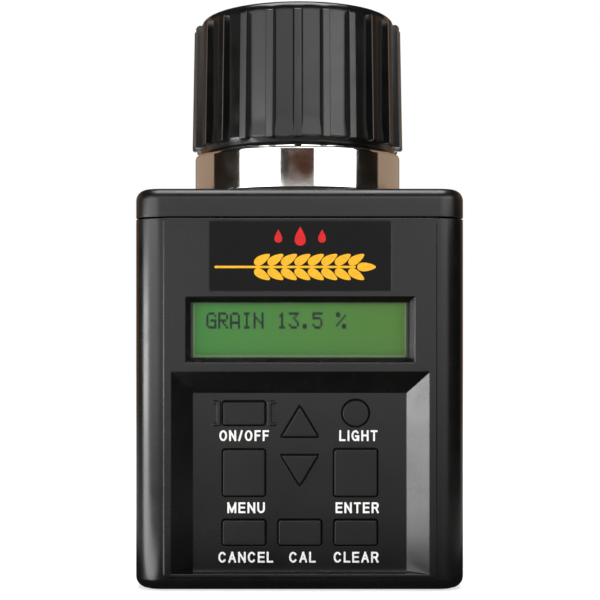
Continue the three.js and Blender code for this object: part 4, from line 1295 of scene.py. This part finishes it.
def makeCup():
    c = cell
    rim, low = neckHigh.z, neckLow.z
    outline = softened([
        (c["boreR"], low, 0.3), (c["cupR"], low, 0.3), (c["cupR"], neckBottom, 0.2),
        (c["neckR"], neckBottom, 0.25),
        (c["neckR"], neckTop, 1.3), (c["spigotR"], neckTop, 0.3),
        (c["spigotR"], rim, 0.6), (c["boreR"], rim, 0.6),
    ], 6)
    cup = turned("cellCup", outline, 160)
    levelled(cup, 50)
    threads = threadRidges("ridges", c["spigotR"] - c["sink"], c["crestR"], neckTop + c["firstThread"],
                           0, finishes["steel"])
    smooth(threads, 30)
    joined(cup, threads)
    dress(cup, finishes["steel"], "case", ["cell_cup"])


makeCup()


# a turned piece that takes the place of one node
def turnedPiece(name, points, material, body, node, steps=96, closed=True, sharp=40):
    piece = turned(name, softened(points, 4, closed), steps)
    return dress(smooth(piece, sharp), finishes[material], body, [node])


postLow, postHigh = spanOf("centre_electrode")
headR = postHigh.x
cellFloor = spanOf("cell_base")[1].z
turnedPiece("electrodePost", [
    (0, postLow.z, 0), (2.6, postLow.z, 0.4), (2.6, cellFloor + 0.3, 0), (headR, cellFloor + 0.3, 0.4),
    (headR, postHigh.z, 3.4), (0, postHigh.z, 0)],
    "steel", "case", "centre_electrode", closed=False)
print("test cell turned")

# cap

capLow, capHigh = spanOf("cap_shell")
cap = {
    "boreR": 28.9, "lipR": 31.7, "topR": 31.15, "shoulder": 3.4, "lipChamfer": 1.2,
    "ribs": 24, "ribWidth": 2.3, "ribLowR": 33.9, "ribTopR": 33.2, "ribStart": 1.6, "ribStop": 3.0,
    "ribSoft": 0.28, "crown": 4.9, "pocketR": 8.3, "stemR": 4.3, "bossR": 10.7, "turn": -1.0, "tuck": 2.4,
}


# a rib: a drafted bar with rounded outer edges, closed at both ends
def ribRings():
    low, high = capLow.z + cap["ribStart"], capHigh.z - cap["ribStop"]
    half, soft = cap["ribWidth"] / 2, cap["ribSoft"]
    rings = []
    # heights along the rib, and how far its outer face is pulled in there
    ends = [(low, -0.5), (low + 0.12, -0.2), (low + 0.4, 0),
            (high - 0.6, 0), (high - 0.2, -0.25), (high, -0.7)]
    for z, pull in ends:
        share = (z - low) / (high - low)
        outer = cap["ribLowR"] + (cap["ribTopR"] - cap["ribLowR"]) * share + pull
        inner = cap["topR"] - 1.2
        section = [(inner, -half - 0.5), (cap["topR"] + 0.05, -half - 0.4), (cap["topR"] + 0.4, -half - 0.05)]
        section += arc(outer - soft, -half + soft, soft, -90, 0, 4)
        section += arc(outer - soft, half - soft, soft, 0, 90, 4)
        section += [(cap["topR"] + 0.4, half + 0.05), (cap["topR"] + 0.05, half + 0.4), (inner, half + 0.5)]
        rings.append([(x, y, z) for x, y in section])
    return rings


def makeCap():
    c = cap
    low, top = capLow.z, capHigh.z
    headSeat = spanOf("indicator_pin")[1].z - 1.6 - 0.3
    bossLow = spanOf("thrust_washer")[1].z + 0.3
    crown = top - c["crown"]
    outline = softened([
        (c["boreR"], low, 0.4), (c["lipR"] - c["lipChamfer"], low, 0.3), (c["lipR"], low + c["tuck"], 0.5),
        (c["topR"] + 0.1, low + 7, 1.5), (c["topR"], top, c["shoulder"]), (c["pocketR"], top, 0.5),
        (c["pocketR"], headSeat, 0.2), (c["stemR"], headSeat, 0.3), (c["stemR"], bossLow, 0.3),
        (c["bossR"], bossLow, 0.3), (c["bossR"], crown, 1), (c["boreR"], crown, 1.2),
    ], 8)
    shell = turned("capShell", outline, 192)
    shell.data.transform(Matrix.Rotation(math.radians(c["turn"]), 4, "Z"))
    # the outside is flat between the ribs and round at the lip and over the shoulder
    pitch = 2 * math.pi / c["ribs"]
    for v in shell.data.vertices:
        r, z = math.hypot(v.co.x, v.co.y) / mm, v.co.z / mm
        if r < c["topR"] - 0.6 or z < low + c["tuck"] - 0.6:
            continue
        turn = math.atan2(v.co.y, v.co.x) - math.radians(c["turn"] - 90)
        off = (turn % pitch) - pitch / 2
        share = min(1, (z - low - c["tuck"] + 0.6) / 0.6) * min(1, (top - z) / c["shoulder"])
        flat = 0.9965 / math.cos(off)
        v.co.x, v.co.y = (n * (1 + (flat - 1) * share) for n in (v.co.x, v.co.y))
    smooth(shell, 40)
    rib = skinned("rib", ribRings())
    outward(rib)
    grown(rib, "ring", Count=c["ribs"], Turn=math.radians(c["turn"] - 90), Material=finishes["cap"])
    levelled(rib, 50)
    inner = threadRidges("innerRidges", c["boreR"] + cell["sink"], cell["spigotR"] + cell["clear"],
                         neckTop + cell["firstThread"], math.pi / cell["starts"], finishes["cap"])
    smooth(inner, 30)
    joined(shell, rib, inner)
    dress(shell, finishes["cap"], "cap", ["cap_shell"])


makeCap()

pinLow, pinHigh = spanOf("indicator_pin")
turnedPiece("indicatorPin", [
    (0, pinLow.z, 0), (4, pinLow.z, 0.3), (4, pinHigh.z - 1.6, 0), (pinHigh.x, pinHigh.z - 1.6, 0.2),
    (pinHigh.x, pinHigh.z, 0.5), (0, pinHigh.z, 0)],
    "steel", "plunger", "indicator_pin", closed=False)
plateLow, plateHigh = spanOf("pressure_plate")
turnedPiece("pressurePlate", [
    (0, plateLow.z, 0), (plateHigh.x / 2, plateLow.z, 1), (plateHigh.x, plateLow.z + 1.2, 0.5),
    (plateHigh.x, plateLow.z + 4.5, 0.5), (7, plateLow.z + 4.5, 0.8), (7, plateHigh.z, 0.5),
    (4.3, plateHigh.z, 0.2), (4.3, plateLow.z + 3.5, 0), (0, plateLow.z + 3.5, 0)],
    "acetal", "plunger", "pressure_plate", closed=False)
washerLow, washerHigh = spanOf("thrust_washer")
turnedPiece("thrustWasher", [
    (4.3, washerLow.z, 0.2), (washerHigh.x, washerLow.z, 0.3), (washerHigh.x, washerHigh.z, 0.3),
    (4.3, washerHigh.z, 0.2)], "zinc", "cap_carrier", "thrust_washer")

springPlan = {"r": 9.6, "wire": 1.1, "turns": 5}


def makeSpring():
    low, high = spanOf("pressure_spring")
    wire = springPlan["wire"]
    steps = 14
    coil = sectionLoop("pressureSpring", arc(0, 0, wire, 0, 360 - 360 / steps, steps - 1))
    rise = high.z - low.z - 2 * wire
    grown(coil, "helix", Radius=springPlan["r"] * mm, Rise=rise * mm, Turns=float(springPlan["turns"]),
          Steps=48, Low=(low.z + wire) * mm, Material=finishes["spring"])
    outward(coil)
    smooth(coil, 50)
    dress(coil, finishes["spring"], "cap_carrier", ["pressure_spring"])
    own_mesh(coil)


makeSpring()
print("cap made")

# screws in the back

screwPlan = {"headR": 3.0, "headThick": 2.2, "shankR": 1.4, "slot": 0.42, "reach": 1.95, "depth": 1.2}


def makeScrews():
    p = screwPlan
    low, high = spanOf(screwNames[0])
    seat, head = high.y - p["headThick"], high.y
    profile = softened([
        (0, low.y, 0), (p["shankR"] * 0.5, low.y, 0), (p["shankR"], low.y + 1.5, 0.3), (p["shankR"], seat, 0),
        (p["headR"], seat, 0.2), (p["headR"], head, 1.2), (0, head, 0)], 5, False)
    screw = turned("screw", profile, 40)
    screw.data.transform(Matrix.Rotation(math.radians(-90), 4, "X"))
    reach, slot = p["reach"], p["slot"]
    cuts = [block("across", -reach, reach, head - p["depth"], head + 1, -slot, slot),
            block("upright", -slot, slot, head - p["depth"], head + 1, -reach, reach)]
    carve(screw, cuts)
    edged(screw, 0.08, lambda middle, length: middle.y > seat + 0.5)
    places = []
    for name in screwNames:
        middle = middleOf(name)
        places.append((middle.x, 0, middle.z))
    piece = meshObject("caseScrews", places, [])
    grown(piece, "scatter", Copy=screw, Material=finishes["zinc"])
    thrownAway(screw)
    outward(piece)
    smooth(piece, 40)
    dress(piece, finishes["zinc"], "case", screwNames)


makeScrews()
print("screws in")

# the pieces that keep their own shape get their finish

carried = {
    "rubber": ["keypad_mat", "cell_gasket"],
    "board": ["display_board", "main_board"],
    "black": ["lcd_frame", "controller_chip", "buzzer", "battery_snap", "battery_lead_black"],
    "flex": ["display_ribbon"],
    "can": ["battery"],
    "red": ["battery_lead_red", "electrode_lead"],
    "guide": ["lcd_backlight"],
    "field": ["lcd_glass"],
    "pane": ["display_window"],
    "acetal": ["cell_base"],
    "zinc": ["cell_lock_ring", "electrode_lug", "electrode_nut"],
    "steel": ["temperature_probe"],
}
carried["zinc"] += [f"{kind}_screw_{i}" for kind in ("display", "board") for i in (1, 2, 3, 4)]
for finish, nodes in carried.items():
    for node in nodes:
        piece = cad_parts[node]
        if not piece.material_slots:
            piece.data.materials.append(finishes[finish])
        for place in piece.material_slots:
            place.material = finishes[finish]
print("nodes dressed")

bpy.context.view_layer.update()
